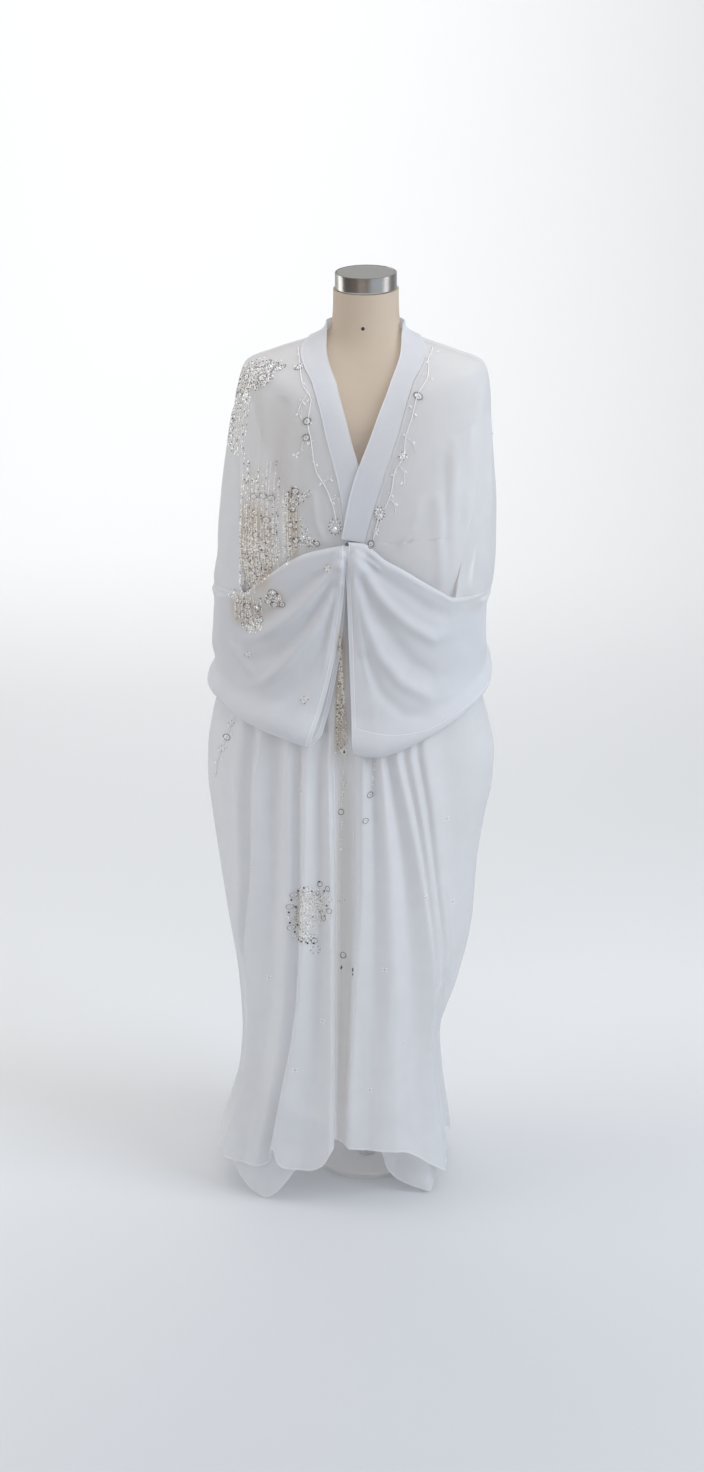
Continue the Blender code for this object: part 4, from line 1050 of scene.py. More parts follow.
@dataclass
class Sleeve(ClothPiece):
    """A wide sleeve: one layer over the upper arm, then a bag drawn across the front, open at its cuff."""

    side: Side
    creases: tuple[Crease, ...]
    steps: int = 12
    outer_rows: int = 84
    inner_rows: int = 30
    upper_step: float = 0.12

    def inner_lift(self, share: Numbers) -> Array:
        """Distance of the inner layer from the body, by share of the way down."""
        return INNER_GAP + TOP_SWELL * ramp(share, TOP_ROUND, 0.0) + BOTTOM_SWELL * ramp(share, 0.8, 1.0)

    def outer_lift(self, share: Numbers, swell: float) -> Array:
        """Distance of the outer layer: rounded folds at the top and bottom, fuller below."""
        top = np.sqrt(1 - (1 - np.clip(share / TOP_ROUND, 0, 1)) ** 2)
        bottom = np.sqrt(1 - (1 - np.clip((1 - share) / BOTTOM_ROUND, 0, 1)) ** 2)
        gap = LAYER_GAP + (swell - LAYER_GAP_BELOW) * np.asarray(share) ** 1.4
        return self.inner_lift(share) + gap * top * bottom

    def column(self, place: float) -> tuple[Array, Array, Array]:
        """One column of the bag, down its outer layer and up its inner one.

        Args:
            place: Which column, counted in rows of the sleeve's table.

        Returns:
            The column's angles, heights and lifts.
        """
        table = np.array(SLEEVE_FOLDS[self.side])
        index = np.arange(len(table))
        values = [float(smooth_between(index, table[:, i], place)) for i in range(table.shape[1])]
        top_angle, top_z, bottom_angle, bottom_z, swell = values
        elbow = ELBOW_COLUMN[self.side]
        closed = place <= elbow + 1e-6
        outer = (1 - np.cos(np.linspace(0, math.pi, self.outer_rows))) / 2
        inner = (1 + np.cos(np.linspace(0, math.pi, self.inner_rows))) / 2
        outer[-1] = 1.0
        if not closed:
            free = SLEEVE_FREE_DROP / (top_z - bottom_z)
            inner = free + (1 - free) * inner
        share = np.concatenate([outer, inner[1:]])
        inside = np.arange(len(share)) >= len(outer)
        bend = 1 + CUFF_BEND[self.side] * float(ramp(place, 3.0, 0.0))
        angle = top_angle + (bottom_angle - top_angle) * share**bend
        z = top_z + (bottom_z - top_z) * share
        if self.side is Side.RIGHT:
            slant = CUFF_SLANT * ramp(place, 2.0, 0.0)
            angle = angle + np.where(inside, slant * share * ramp(share, 1.0, 0.93), 0.0)
        lift = np.where(inside, self.inner_lift(share), self.outer_lift(share, swell))
        if not closed:
            opened = float(ramp(place, elbow, elbow + 2.0))
            swing = self.outer_lift(np.float64(0.5), swell) - self.inner_lift(0.0)
            plain = self.inner_lift(0.0) + swing * ramp(share, 0.0, 0.5)
            outside = lift + (np.where(share < 0.5, plain, lift) - lift) * opened
            lift = np.where(inside, INNER_GAP + BOTTOM_SWELL * ramp(share, 0.8, 1.0), outside)
        stand_out = crease_lift(self.creases, angle, z) * ramp(share, 0.0, 0.05) * ramp(share, 1.0, 0.93)
        return angle, z, np.where(inside, lift, lift + stand_out)

    @property
    def node(self) -> str:
        """The name of its solid."""
        return "sleeve_" + self.side.value

    def lay_out(self, shell: Shell) -> None:
        """Adds the piece's grids to its shell.

        Args:
            shell: The surface that takes them.
        """
        places = np.arange((len(SLEEVE_FOLDS[self.side]) - 1) * self.steps + 1) / self.steps
        columns = [self.column(place) for place in places]
        angle, z, lift = (np.array([column[i] for column in columns]).T for i in range(3))
        level = BODY.level_at(angle, z)
        bag = BODY.lifted(angle, level, lift)
        first_upper = ELBOW_COLUMN[self.side] * self.steps
        gap = math.degrees(SEAM_GAP / SIDE_REACH) / 2
        toward = self.side.sign
        last_angles = angle[0, first_upper:]
        share = (last_angles - last_angles[0]) / (last_angles[-1] - last_angles[0])
        rows = []
        for ring in np.arange(SHOULDER_LEVEL, SLEEVE_LEVEL - 0.05, self.upper_step):
            start = float(side_edge(self.side, ring, ARMHOLE_FRONT)) + toward * gap
            end = float(side_edge(self.side, ring, ARMHOLE_BACK)) - toward * gap
            places_here = start + (end - start) * share
            heights = BODY.point(places_here, ring)[..., 2]
            fade = np.sin(math.pi * share) ** 0.5
            creased = crease_lift(self.creases, places_here, heights) * fade * ramp(ring, SLEEVE_LEVEL, 8.6)
            out = self.inner_lift(0.0) * float(ramp(ring, 8.0, SLEEVE_LEVEL)) + creased
            rows.append(BODY.lifted(places_here, ring, out))
        upper = np.array(rows + [bag[0, first_upper:]])
        from_cuff = distance_along(bag)
        arc = np.stack([from_cuff, bag[..., 2]], axis=-1)
        upper_arc = np.stack([from_cuff[0, first_upper:] + 0 * upper[..., 0], upper[..., 2]], axis=-1)
        free_rows = distance_down(bag, backward=True)
        open_column = np.arange(len(places)) > first_upper
        edge = np.minimum(from_cuff, np.where(open_column, free_rows, FAR))
        outer_face = np.arange(len(z))[:, None] < self.outer_rows
        if self.side is Side.LEFT:
            above = z - smooth_between(*FOLD_SEAM, angle) + SWAG_CHIFFON.hem_width * 0.95
            edge = np.minimum(edge, np.where(outer_face & (angle < 80.0), np.maximum(above, 0.003), FAR))
        # Net colour on the sleeves' outer faces: net behind the beadwork, and painted shade of the beads.
        net_and_shade = np.where(outer_face, net_and_shade_share(angle, z), 0.0)
        if self.side is Side.RIGHT:
            bag, arc, edge, net_and_shade = bag[:, ::-1], arc[:, ::-1], edge[:, ::-1], net_and_shade[:, ::-1]
            upper, upper_arc = upper[:, ::-1], upper_arc[:, ::-1]
        shell.add_grid(bag, arc, edge, net_and_shade=net_and_shade)
        shell.add_grid(upper, upper_arc)


@dataclass
class Neckband(ClothPiece):
    """A double strip from the hook, round the neck and back, its left end on top and a welt along it."""

    node = "neckband"
    slot = Slot.BAND
    thickness = BAND_SHELL
    level_step: float = 0.08
    neck_steps: int = 70
    strips: int = 26
    welt: float = 0.0005
    welt_width: float = 0.05

    def stations(self) -> list[tuple[float, float, float, float, float]]:
        """Each cross line of the band: outer angle and level, inner angle and level, and lift."""
        levels = np.append(np.arange(NECK_LEVEL, HOOK_LEVEL, self.level_step), HOOK_LEVEL)
        found = []
        for side in (Side.RIGHT, Side.LEFT):
            if side is Side.LEFT:
                for step in range(1, self.neck_steps):
                    share = step / self.neck_steps
                    ends = []
                    for edge in (BAND_OUTER, BAND_INNER):
                        start, end = edge[Side.RIGHT][0], edge[Side.LEFT][0] - 360
                        ends.append(start + (end - start) * share)
                    found.append((ends[0], NECK_LEVEL, ends[1], BAND_INNER_LEVEL[0], BAND_REST_LIFT))
            for level in levels[::-1] if side is Side.RIGHT else levels:
                tables = (BAND_OUTER[side], BAND_INNER[side], BAND_INNER_LEVEL, BAND_LIFT[side])
                outer, *inner_and_lift = (float(smooth_between(BAND_KNOTS, t, level)) for t in tables)
                found.append((outer, level, *inner_and_lift))
        return found

    def lay_out(self, shell: Shell) -> None:
        """Adds the piece's grids to its shell.

        Args:
            shell: The surface that takes them.
        """
        share = (1 - np.cos(np.linspace(0, math.pi, self.strips))) / 2
        rows = []
        for outer_angle, outer_level, inner_angle, inner_level, lift in self.stations():
            angle = outer_angle + (inner_angle - outer_angle) * share
            level = outer_level + (inner_level - outer_level) * share
            at_edge = np.maximum(ramp(share, self.welt_width, 0), ramp(share, 1 - self.welt_width, 1))
            rows.append(BODY.lifted(angle, level, lift + self.welt * at_edge))
        grid = np.array(rows)
        across = distance_along(grid)
        edge = np.minimum(across, distance_along(grid, backward=True))
        along = distance_down(grid)
        shell.add_grid(grid, np.stack([across, along], axis=-1), edge + HEM_WIDTH * 0.62)


def ring_skin(name: str, rings: Sequence[Array], ends: tuple[Array, Array]) -> Piece:
    """A closed skin over rings given from the top down, with a fan of faces at each end.

    Args:
        name: The object's name.
        rings: Points of each ring, the same number in all.
        ends: The middle points of the top and of the bottom.

    Returns:
        The new object, with the cloth coordinates round and down it.
    """
    count = len(rings[0])
    points = np.concatenate([*rings, np.array(ends)])
    top, bottom = len(points) - 2, len(points) - 1
    faces = []
    for r in range(len(rings) - 1):
        for c in range(count):
            here, there = r * count + c, r * count + (c + 1) % count
            faces.append((here, here + count, there + count, there))
    last = (len(rings) - 1) * count
    for c in range(count):
        after = (c + 1) % count
        faces.append((top, c, after))
        faces.append((bottom, last + after, last + c))
    mesh = bpy.data.meshes.new(name)
    mesh.from_pydata(points.tolist(), [], faces)
    reach = np.linalg.norm(points[:, :2], axis=1).max()
    arc = np.arctan2(points[:, 0], -points[:, 1]) * reach
    loop_points = np.zeros(len(mesh.loops), np.int32)
    mesh.loops.foreach_get("vertex_index", loop_points)
    placed = np.stack([arc, points[:, 2]], axis=-1)[loop_points]
    mesh.uv_layers.new(name="cloth").data.foreach_set("uv", placed.astype(np.float32).ravel())
    return new_object(name, mesh)


STAND_PAINT = Solid("stand_paint", (0.76, 0.755, 0.745), (0.74, 0.735, 0.725), 0.7)
PIN_PAINT = Solid("dark_pin", (0.03, 0.03, 0.035), (0.015, 0.015, 0.02), 0.35, grain_pitch=0.001)
CAP_GREY = Solid("cap_grey", (0.27, 0.262, 0.248), (0.235, 0.228, 0.215), 0.55, grain_pitch=0.0008)
SNAP_NICKEL = Solid(
    "snap_nickel", (0.33, 0.34, 0.37), (0.24, 0.25, 0.28), 0.28, metallic=1.0, grain_pitch=0.001
)

# The padding's own rings, in the columns of UPPER_RINGS.
FORM_RINGS = Rings((
    (0, 1.55, 1.5435, 1.5565, 0.053, 0.053, 0.0505, 0.0505, 2),
    (1, 1.528, 1.523, 1.533, 0.0532, 0.0532, 0.051, 0.0505, 2),
    (2, 1.508, 1.5, 1.512, 0.0542, 0.054, 0.052, 0.0512, 2),
    (3, 1.487, 1.46, 1.492, 0.058, 0.0565, 0.0585, 0.054, 2),
    (7, 1.395, 1.31, 1.362, 0.188, 0.185, 0.119, 0.113, 2.3),
    (8, 1.345, 1.275, 1.318, 0.18, 0.178, 0.119, 0.111, 2.3),
    (9, 1.285, 1.23, 1.265, 0.162, 0.16, 0.114, 0.105, 2.3),
    (10, 1.22, 1.185, 1.208, 0.143, 0.141, 0.103, 0.096, 2.2),
    (11, 1.14, 1.14, 1.14, 0.123, 0.122, 0.092, 0.087, 2.1),
    (12, 1.08, 1.08, 1.08, 0.125, 0.124, 0.092, 0.092, 2.1),
    (13, 1, 1, 1, 0.148, 0.146, 0.101, 0.108, 2.1),
    (14, 0.93, 0.93, 0.93, 0.164, 0.16, 0.107, 0.117, 2.1),
    (15, 0.87, 0.87, 0.87, 0.166, 0.161, 0.106, 0.116, 2.1),
    (16, 0.83, 0.83, 0.83, 0.16, 0.156, 0.103, 0.11, 2.1),
))


@dataclass
class DressForm:
    """The limbless padded form, its neck cap and the stand under it."""

    sides: int = 120
    body_rings: int = 90
    inset: float = 0.0017
    front_ease: float = 0.0036
    bust_angle: float = 36.0
    bust_level: float = 8.1
    bust_swell: float = 0.007
    bust_width: float = 20.0
    bust_reach: float = 0.9
    cap_radius: float = 0.05
    cap_height: float = 0.026
    cap_foot_z: float = 1.5508
    cap_tilt: float = math.radians(7.4)
    cap_edge: float = 0.0011
    cap_sides: int = 160
    neck_levels: tuple[float, ...] = (0.0, 1.0, 2.0, 2.5, 3.0)
    shoulder_levels: tuple[float, ...] = (1.05, 1.25, 1.5, 1.8, 2.1, 2.4, 2.7, 3.0, 3.25)
    chest_levels: tuple[float, ...] = (7.0, 7.6, 8.2, 9.0, 10.0, 11.0, 12.0, 13.0, 14.0, 15.0, 16.0)
    rings: Rings = FORM_RINGS

    def torso_rings(self) -> Array:
        """Points of the torso's rings, from the neck's flat top to the board under the hips."""
        angles = np.arange(self.sides) * 360.0 / self.sides
        across = np.minimum(np.abs(angles - self.bust_angle), np.abs(360 - self.bust_angle - angles))
        knots = [self.rings.point(angles, level) for level in self.neck_levels]
        knots[0][:, 2] = self.rings.rows[0][1] + knots[0][:, 1] * math.tan(self.cap_tilt)
        inset = self.inset + self.front_ease * ramp(np.minimum(angles, 360 - angles), 102, 80)
        knots += [BODY.lifted(angles, level, -inset) for level in self.shoulder_levels]
        for level in self.chest_levels:
            fall = ((level - self.bust_level) / self.bust_reach) ** 2
            swell = self.bust_swell * np.exp(-((across / self.bust_width) ** 2) - fall)
            knots.append(self.rings.lifted(angles, level, swell))
        stack = np.array(knots).reshape(len(knots), -1)
        steps = np.linalg.norm(np.diff(np.array(knots), axis=0), axis=2).mean(axis=1)
        down = np.concatenate([[0.0], np.cumsum(steps)])
        places = np.linspace(0, down[-1], self.body_rings)
        smooth = np.array([smooth_between(down, column, places) for column in stack.T])
        return smooth.T.reshape(self.body_rings, self.sides, 3)

    def build_torso(self) -> Piece:
        """Makes the jersey-covered torso."""
        rings = self.torso_rings()
        torso = ring_skin("dress_form_torso", list(rings), (rings[0].mean(axis=0), rings[-1].mean(axis=0)))
        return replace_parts(dress(torso, Jersey().material()), "form_torso")

    def turned(self, name: str, profile: Sequence[Spot], sides: int, centre: Sequence[float],
               tilt: float = 0.0) -> Piece:
        """A turned piece.

        Args:
            name: The object's name.
            profile: Its (radius, height) points from the top down.
            sides: How many sides it has.
            centre: The place of its height 0, on its axis.
            tilt: How far it tips forward, in radians.

        Returns:
            The new object.
        """
        turns = np.arange(sides) * 2 * math.pi / sides
        heights = [height for _, height in profile]
        rings = [
            np.stack([radius * np.sin(turns), -radius * np.cos(turns), np.full(sides, height)], axis=-1)
            for radius, height in profile
        ]
        rings += [np.array([[0, 0, heights[0]]]), np.array([[0, 0, heights[-1]]])]
        cos, sin = math.cos(tilt), math.sin(tilt)
        tip = np.array([[1, 0, 0], [0, cos, sin], [0, -sin, cos]])
        rings = [ring @ tip + np.asarray(centre) for ring in rings]
        return ring_skin(name, rings[:-2], (rings[-2][0], rings[-1][0]))

    def build_cap(self) -> list[Piece]:
        """Makes the neck cap: a steel wall with a rolled rim, and a matte top set into it."""
        radius, height, edge = self.cap_radius, self.cap_height, self.cap_edge
        corner = [
            (radius - edge * (1 - math.sin(turn)), height - edge * (1 - math.cos(turn)))
            for turn in np.linspace(0, math.pi / 2, 6)
        ]
        lip = [(radius - 0.0034, height - 0.0012), (radius - 0.0026, height)]
        wall = [(radius, height * share) for share in (0.7, 0.4, 0.12, 0.05)]
        foot = [(radius - 0.0004, 0.0)]
        centre = (0, 0, self.cap_foot_z)
        profile = lip + corner + wall + foot
        cap = self.turned("neck_cap_steel", profile, self.cap_sides, centre, self.cap_tilt)
        dish = [(reach, height - 0.0004) for reach in (0.012, 0.03, radius - 0.0036)]
        dish.append((radius - 0.0032, height - 0.0014))
        top = self.turned("neck_cap_top", dish, self.cap_sides, centre, self.cap_tilt)
        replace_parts(dress(top, CAP_GREY.material()), "neck_cap")
        return [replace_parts(dress(cap, BrushedSteel().material()), "neck_cap"), top]

    def build_pin(self) -> Piece:
        """Makes the small dark pin head in the front of the neck."""
        level, angle, radius = 2.26, -0.6, 0.0031
        centre = self.rings.lifted(angle, level, -0.0004)
        outward = self.rings.normal(angle, level)
        bpy.ops.mesh.primitive_uv_sphere_add(segments=20, ring_count=12, radius=radius, location=centre)
        pin = bpy.context.object
        pin.name = "neck_pin"
        pin.rotation_mode = "QUATERNION"
        pin.rotation_quaternion = Vector(outward).to_track_quat("Z", "Y")
        pin.scale = (1.0, 1.0, 0.6)
        bpy.ops.object.transform_apply(location=True, rotation=True, scale=True)
        pin.data.shade_smooth()
        return dress(pin, PIN_PAINT.material())

    def build(self) -> list[Piece]:
        """Makes the form with its cap and pin, and paints the stand's own solids."""
        pieces = [self.build_torso(), *self.build_cap(), self.build_pin()]
        paint = STAND_PAINT.material()
        for name in ("stand_pole", "stand_base"):
            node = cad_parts[name]
            node.data.shade_smooth()
            node.data.set_sharp_from_angle(angle=math.radians(30))
            node.data.materials.clear()
            node.data.materials.append(paint)
        return pieces


@dataclass
class WaistSnap:
    """The small press snap that holds the band's ends together."""

    angle: float = -8.0
    level: float = 7.42
    lift: float = 0.0128
    thickness: float = 0.0022
    radius: float = 0.0035
    crown: float = 0.0021
    sides: int = 32

    def build(self) -> Piece:
        """Makes the snap's rounded cap, in place of its solid."""
        centre = BODY.lifted(self.angle, self.level, self.lift + self.thickness)
        outward = BODY.normal(self.angle, self.level)
        across = np.cross(outward, (0.0, 0.0, 1.0))
        across /= np.linalg.norm(across)
        upward = np.cross(across, outward)
        turns = np.arange(self.sides) * 2 * math.pi / self.sides
        spokes = np.cos(turns)[:, None] * across - np.sin(turns)[:, None] * upward
        profile = [(self.crown * 0.45, 0.0001), (self.crown, 0.0)]
        bend = self.radius - self.crown
        for turn in np.linspace(0, math.pi / 2, 6)[1:]:
            profile.append((self.crown + bend * math.sin(turn), 0.0008 * (1 - math.cos(turn))))
        profile.append((self.radius, self.thickness))
        rings = [centre + spokes * radius - outward * depth for radius, depth in profile]
        middles = (centre - outward * 0.0001, centre - outward * self.thickness)
        snap = ring_skin("waist_snap_cap", rings, middles)
        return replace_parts(dress(snap, SNAP_NICKEL.material()), "waist_snap")


@dataclass(frozen=True)
class Glitter:
    """A bead's finish: pale to warm, or dark for a few beads, by each bead's own fleck."""

    name: str
    light: Triple
    warm: Triple
    dark: Triple
    dark_share: float
    roughness: float
    metallic: float
    coat: float = 0.0

    def material(self) -> Material:
        """The finish's material."""
        graph = Graph(self.name)
        fleck = graph.attribute("fleck")
        solid_place = graph.solid_place()
        grain = graph.noise(solid_place, 0.0009, 1.0)
        mixed = graph.colour_between(fleck, self.light, self.warm)
        is_dark = graph.maths("GREATER_THAN", fleck, 1 - self.dark_share)
        inputs = {
            "Base Color": graph.colour_between(is_dark, mixed, self.dark),
            "Metallic": self.metallic,
            "Roughness": graph.maths("MULTIPLY_ADD", grain, 0.1, self.roughness),
            "Coat Weight": self.coat,
            "Normal": graph.bump(grain, 0.2, 0.0001),
        }
        return graph.opaque(inputs)


@dataclass(frozen=True)
class BeadShape:
    """A closed bead of unit size, built from rings of (radius, height) from its top down."""

    rings: tuple[tuple[float, float], ...]
    sides: int
    stretch: float = 1.0

    def mesh(self) -> tuple[Array, list[Face]]:
        """The bead's points and faces, standing on height 0."""
        turns = np.arange(self.sides) * 2 * math.pi / self.sides
        points = [(0.0, 0.0, self.rings[0][1])]
        for radius, height in self.rings[1:-1]:
            points += [(radius * math.sin(t), radius * math.cos(t) * self.stretch, height) for t in turns]
        points.append((0.0, 0.0, self.rings[-1][1]))
        last = len(points) - 1
        faces: list[Face] = []
        for c in range(self.sides):
            after = (c + 1) % self.sides
            faces.append((0, 1 + after, 1 + c))
            for r in range(len(self.rings) - 3):
                here = 1 + r * self.sides
                faces.append((here + c, here + after, here + after + self.sides, here + c + self.sides))
            low = 1 + (len(self.rings) - 3) * self.sides
            faces.append((low + c, low + after, last))
        return np.array(points), faces


class Bead(Enum):
    """The kinds of bead, and each one's shape."""

    SEQUIN = BeadShape(((0.0, 0.1), (0.5, 0.2), (0.0, 0.0)), 8)
    SEED = BeadShape(((0.0, 0.8), (0.38, 0.72), (0.5, 0.36), (0.3, 0.04), (0.0, 0.0)), 6)
    BUGLE = BeadShape(((0.0, 0.3), (0.13, 0.27), (0.17, 0.13), (0.0, 0.0)), 6, 3.2)
    JEWEL = BeadShape(((0.0, 0.42), (0.3, 0.42), (0.5, 0.16), (0.44, 0.02), (0.0, 0.0)), 8)
    PETAL = BeadShape(((0.0, 0.14), (0.22, 0.18), (0.3, 0.06), (0.0, 0.0)), 8, 1.8)


# How a bead's fleck and width are usually set.
DARK = 0.98
PALE = 0.1
SEED_WIDTH = 0.0019
FULL_SEED_WIDTH = 0.002


class Beadwork:
    """All beads and cords, placed by angle and height and then seated on the cloth."""

    def __init__(self, cloth: dict[str, Piece], seed: int = 7) -> None:
        """Prepares the cloth that beads sit on.

        Args:
            cloth: The cloth pieces, by their short names.
            seed: The seed of every random draw.
        """
        self.random = np.random.default_rng(seed)
        self.carriers = list(cloth)
        self.pieces: dict[str, list[Piece]] = {name: [] for name in cloth}
        self.trees = []
        for piece in cloth.values():
            mesh = piece.data
            points = np.zeros(len(mesh.vertices) * 3, np.float32)
            mesh.vertices.foreach_get("co", points)
            polygons = [tuple(polygon.vertices) for polygon in mesh.polygons]
            self.trees.append(BVHTree.FromPolygons(points.reshape(-1, 3).tolist(), polygons))
        self.placed: dict[Bead, list[tuple[float, ...]]] = {kind: [] for kind in Bead}
        self.cords: list[tuple[Array, Array, float]] = []

    def add(
        self, kind: Bead, angle: float, z: float, size: float, spin: float = 0.0, fleck: float | None = None
    ) -> None:
        """Places one bead.

        Args:
            kind: What it is.
            angle: Its angle from the front, in degrees.
            z: Its height.
            size: Its width, in metres.
            spin: Its turn on the cloth, in degrees.
            fleck: From 0 to 1: pale to warm, and near 1 dark. Random if left out.
        """
        fleck = float(self.random.random()) if fleck is None else fleck
        self.placed[kind].append((angle, z, size, spin, fleck))

    def around(self, angle: float, z: float, radius: float, turn: float) -> Spot:
        """The spot at radius from a place, turned clockwise from straight up by some degrees."""
        turn = math.radians(turn)
        return angle + radius * math.sin(turn) / ARC_PER_DEGREE, z + radius * math.cos(turn)

    def ring(self, kind: Bead, centre: Spot, radius: float, count: int, size: float,
             flecks: Sequence[float], first: float = 0.0) -> None:
        """A ring of beads.

        Args:
            kind: What they are; sequins are turned outward.
            centre: Its middle.
            radius: Its radius, in metres.
            count: How many beads.
            size: Their width, in metres.
            flecks: Their flecks, taken in turn.
            first: Where the first one lies, in degrees from straight up.
        """
        for i in range(count):
            turn = 360 * i / count + first
            spin = turn if kind is Bead.SEQUIN else 0.0
            self.add(kind, *self.around(*centre, radius, turn), size, spin, flecks[i % len(flecks)])

    def rosette(self, angle: float, z: float, radius: float, dark: bool = False) -> None:
        """A small flower: a jewel in a ring of sequins, rimmed with seed beads."""
        rim_flecks = (DARK,) if dark else (0.75, 0.3, 0.75, DARK)
        self.add(Bead.JEWEL, angle, z, radius * 0.6, fleck=PALE)
        self.ring(Bead.SEQUIN, (angle, z), radius * 0.55, 8, radius * 0.46, (PALE,), 11)
        self.ring(Bead.SEED, (angle, z), radius, 16, radius * 0.33, rim_flecks, 11)

    def scroll(self, angle: float, z: float, radius: float, turn: float) -> None:
        """A curl of seed beads that opens from a place toward turn degrees."""
        for i in range(15):
            reach = radius * (0.25 + 0.75 * i / 14)
            fleck = DARK if i % 5 == 2 else 0.35
            self.add(Bead.SEED, *self.around(angle, z, reach, turn + 330 * i / 14), SEED_WIDTH, fleck=fleck)

    def drop(self, angle: float, z: float, height: float, stone: float = 0.05, rim: float = 0.3) -> None:
        """A pear-shaped jewel motif whose stone, and every other bead of its ring, have these flecks."""
        self.add(Bead.JEWEL, angle, z - height * 0.08, height * 0.3, fleck=stone)
        for i in range(22):
            turn = 360 * i / 22
            reach = height * (0.36 + 0.16 * max(math.cos(math.radians(turn)), 0) ** 3)
            fleck = rim if i % 2 else 0.3
            self.add(Bead.SEED, *self.around(angle, z, reach, turn), FULL_SEED_WIDTH, fleck=fleck)
            if i % 2:
                self.add(Bead.SEQUIN, *self.around(angle, z, reach * 0.66, turn), 0.003, turn, 0.1)

    def strand(self, start: Spot, end: Spot, pitch: float = 0.0027, gaps: float = 0.06,
               dark: float = 0.0, tone: float | None = None) -> None:
        """A hanging string of seed beads, bugles and sequins between two places.

        Args:
            start: Its first angle and height.
            end: Its last.
            pitch: Metres from bead to bead.
            gaps: Share of beads left out.
            dark: Share of beads made dark.
            tone: The other beads' fleck, random if left out.
        """
        length = math.hypot((end[0] - start[0]) * ARC_PER_DEGREE, end[1] - start[1])
        count = max(int(length / pitch), 2)
        sway = self.random.normal(0, 0.1)
        for i in range(count):
            share = (i + 0.3 * self.random.random()) / count
            if self.random.random() < gaps:
                continue
            angle = start[0] + (end[0] - start[0]) * share + sway * math.sin(math.pi * share) * 4
            z = start[1] + (end[1] - start[1]) * share
            fleck = DARK if self.random.random() < dark else tone
            pick = self.random.random()
            if pick < 0.55:
                self.add(Bead.SEED, angle, z, SEED_WIDTH, fleck=fleck)
            elif pick < 0.75:
                self.add(Bead.BUGLE, angle, z, 0.0037, self.random.normal(0, 14), fleck)
            else:
                self.add(Bead.SEQUIN, angle, z, 0.0029, self.random.uniform(0, 360), fleck)

    def fill(self, centre: Spot, reach: Spot, count: int, dark: float = 0.05) -> None:
        """Beads scattered over an oval.

        Args:
            centre: Its angle and height.
            reach: Its half width in degrees and half height in metres.
            count: How many beads.
            dark: Share of them made dark.
        """
        for _ in range(count):
            out = math.sqrt(self.random.random())
            turn = self.random.uniform(0, 2 * math.pi)
            angle = centre[0] + reach[0] * out * math.cos(turn)
            z = centre[1] + reach[1] * out * math.sin(turn)
            fleck = DARK if self.random.random() < dark else None
            if self.random.random() < 0.6:
                self.add(Bead.SEED, angle, z, SEED_WIDTH, fleck=fleck)
            else:
                self.add(Bead.SEQUIN, angle, z, 0.003, self.random.uniform(0, 360), fleck)

    def vine(self, stops: Sequence[Spot], width: float = 0.0016, leaf_pitch: float = 0.021) -> None:
        """A corded stem through the stops, with a petal now and then on either side.

        Args:
            stops: Angles and heights.
            width: The cord's width, in metres.
            leaf_pitch: Metres from petal to petal.
        """
        knots = np.array(stops)
        steps = np.hypot(np.diff(knots[:, 0]) * ARC_PER_DEGREE, np.diff(knots[:, 1]))
        along = np.concatenate([[0.0], np.cumsum(steps)])
        places = np.linspace(0, along[-1], max(int(along[-1] / 0.0025), 3))
        angle = smooth_between(along, knots[:, 0], places)
        z = smooth_between(along, knots[:, 1], places)
        self.cords.append((angle, z, width))
        side = 1.0
        for place in np.arange(leaf_pitch * 0.6, along[-1], leaf_pitch):
            here = (float(np.interp(place, places, angle)), float(np.interp(place, places, z)))
            self.add(Bead.PETAL, here[0] + side * 1.5, here[1] - 0.002, 0.0058, 180 - side * 38, 0.2)
            self.add(Bead.SEED, here[0] - side * 0.9, here[1] + 0.003, FULL_SEED_WIDTH, fleck=0.3)
            side = -side

    def seat(self, angle: Array, z: Array, lift: float) -> tuple[Array, Array, Array]:
        """Finds where places lie on the cloth.

        Args:
            angle: The places' angles.
            z: Their heights.
            lift: How far above the cloth's face to stay.

        Returns:
            Points, outward directions, and the number of the cloth piece there, or -1 where there is none.
        """
        level = BODY.level_at(angle, z)
        starts = BODY.lifted(angle, level, 0.08)
        normals = BODY.normal(angle, level)
        points, outward = starts.copy(), normals.copy()
        carrier = np.full(len(starts), -1)
        for i, (start, normal) in enumerate(zip(starts, normals)):
            nearest = 0.13
            for number, tree in enumerate(self.trees):
                hit, face_normal, _, distance = tree.ray_cast(Vector(start), Vector(-normal), nearest)
                if hit is None:
                    continue
                nearest = distance
                carrier[i] = number
                facing = 1.0 if face_normal.dot(Vector(normal)) > 0 else -1.0
                outward[i] = np.array(face_normal) * facing
                points[i] = np.array(hit) + outward[i] * lift
        return points, outward, carrier

    def keep(self, name: str, number: int, points: Array, faces: list[Face], fleck: Array | None,
             material: Material) -> None:
        """Makes one piece of beads or cords and files it under the cloth piece that carries it.

        Args:
            name: The piece's name, without its carrier's.
            number: The carrier's number.
            points: The piece's points.
            faces: Its faces.
            fleck: Each point's fleck, or None for cords, which are shaded smooth.
            material: Its material.
        """
        carrier = self.carriers[number]
        mesh = bpy.data.meshes.new(name + "_" + carrier)
        mesh.from_pydata(points.reshape(-1, 3).tolist(), [], faces)
        if fleck is None:
            obj = new_object(mesh.name, mesh)
        else:
            layer = mesh.attributes.new("fleck", "FLOAT", "POINT")
            layer.data.foreach_set("value", fleck.astype(np.float32))
            obj = bpy.data.objects.new(mesh.name, mesh)
            bpy.context.scene.collection.objects.link(obj)
        self.pieces[carrier].append(dress(obj, material))

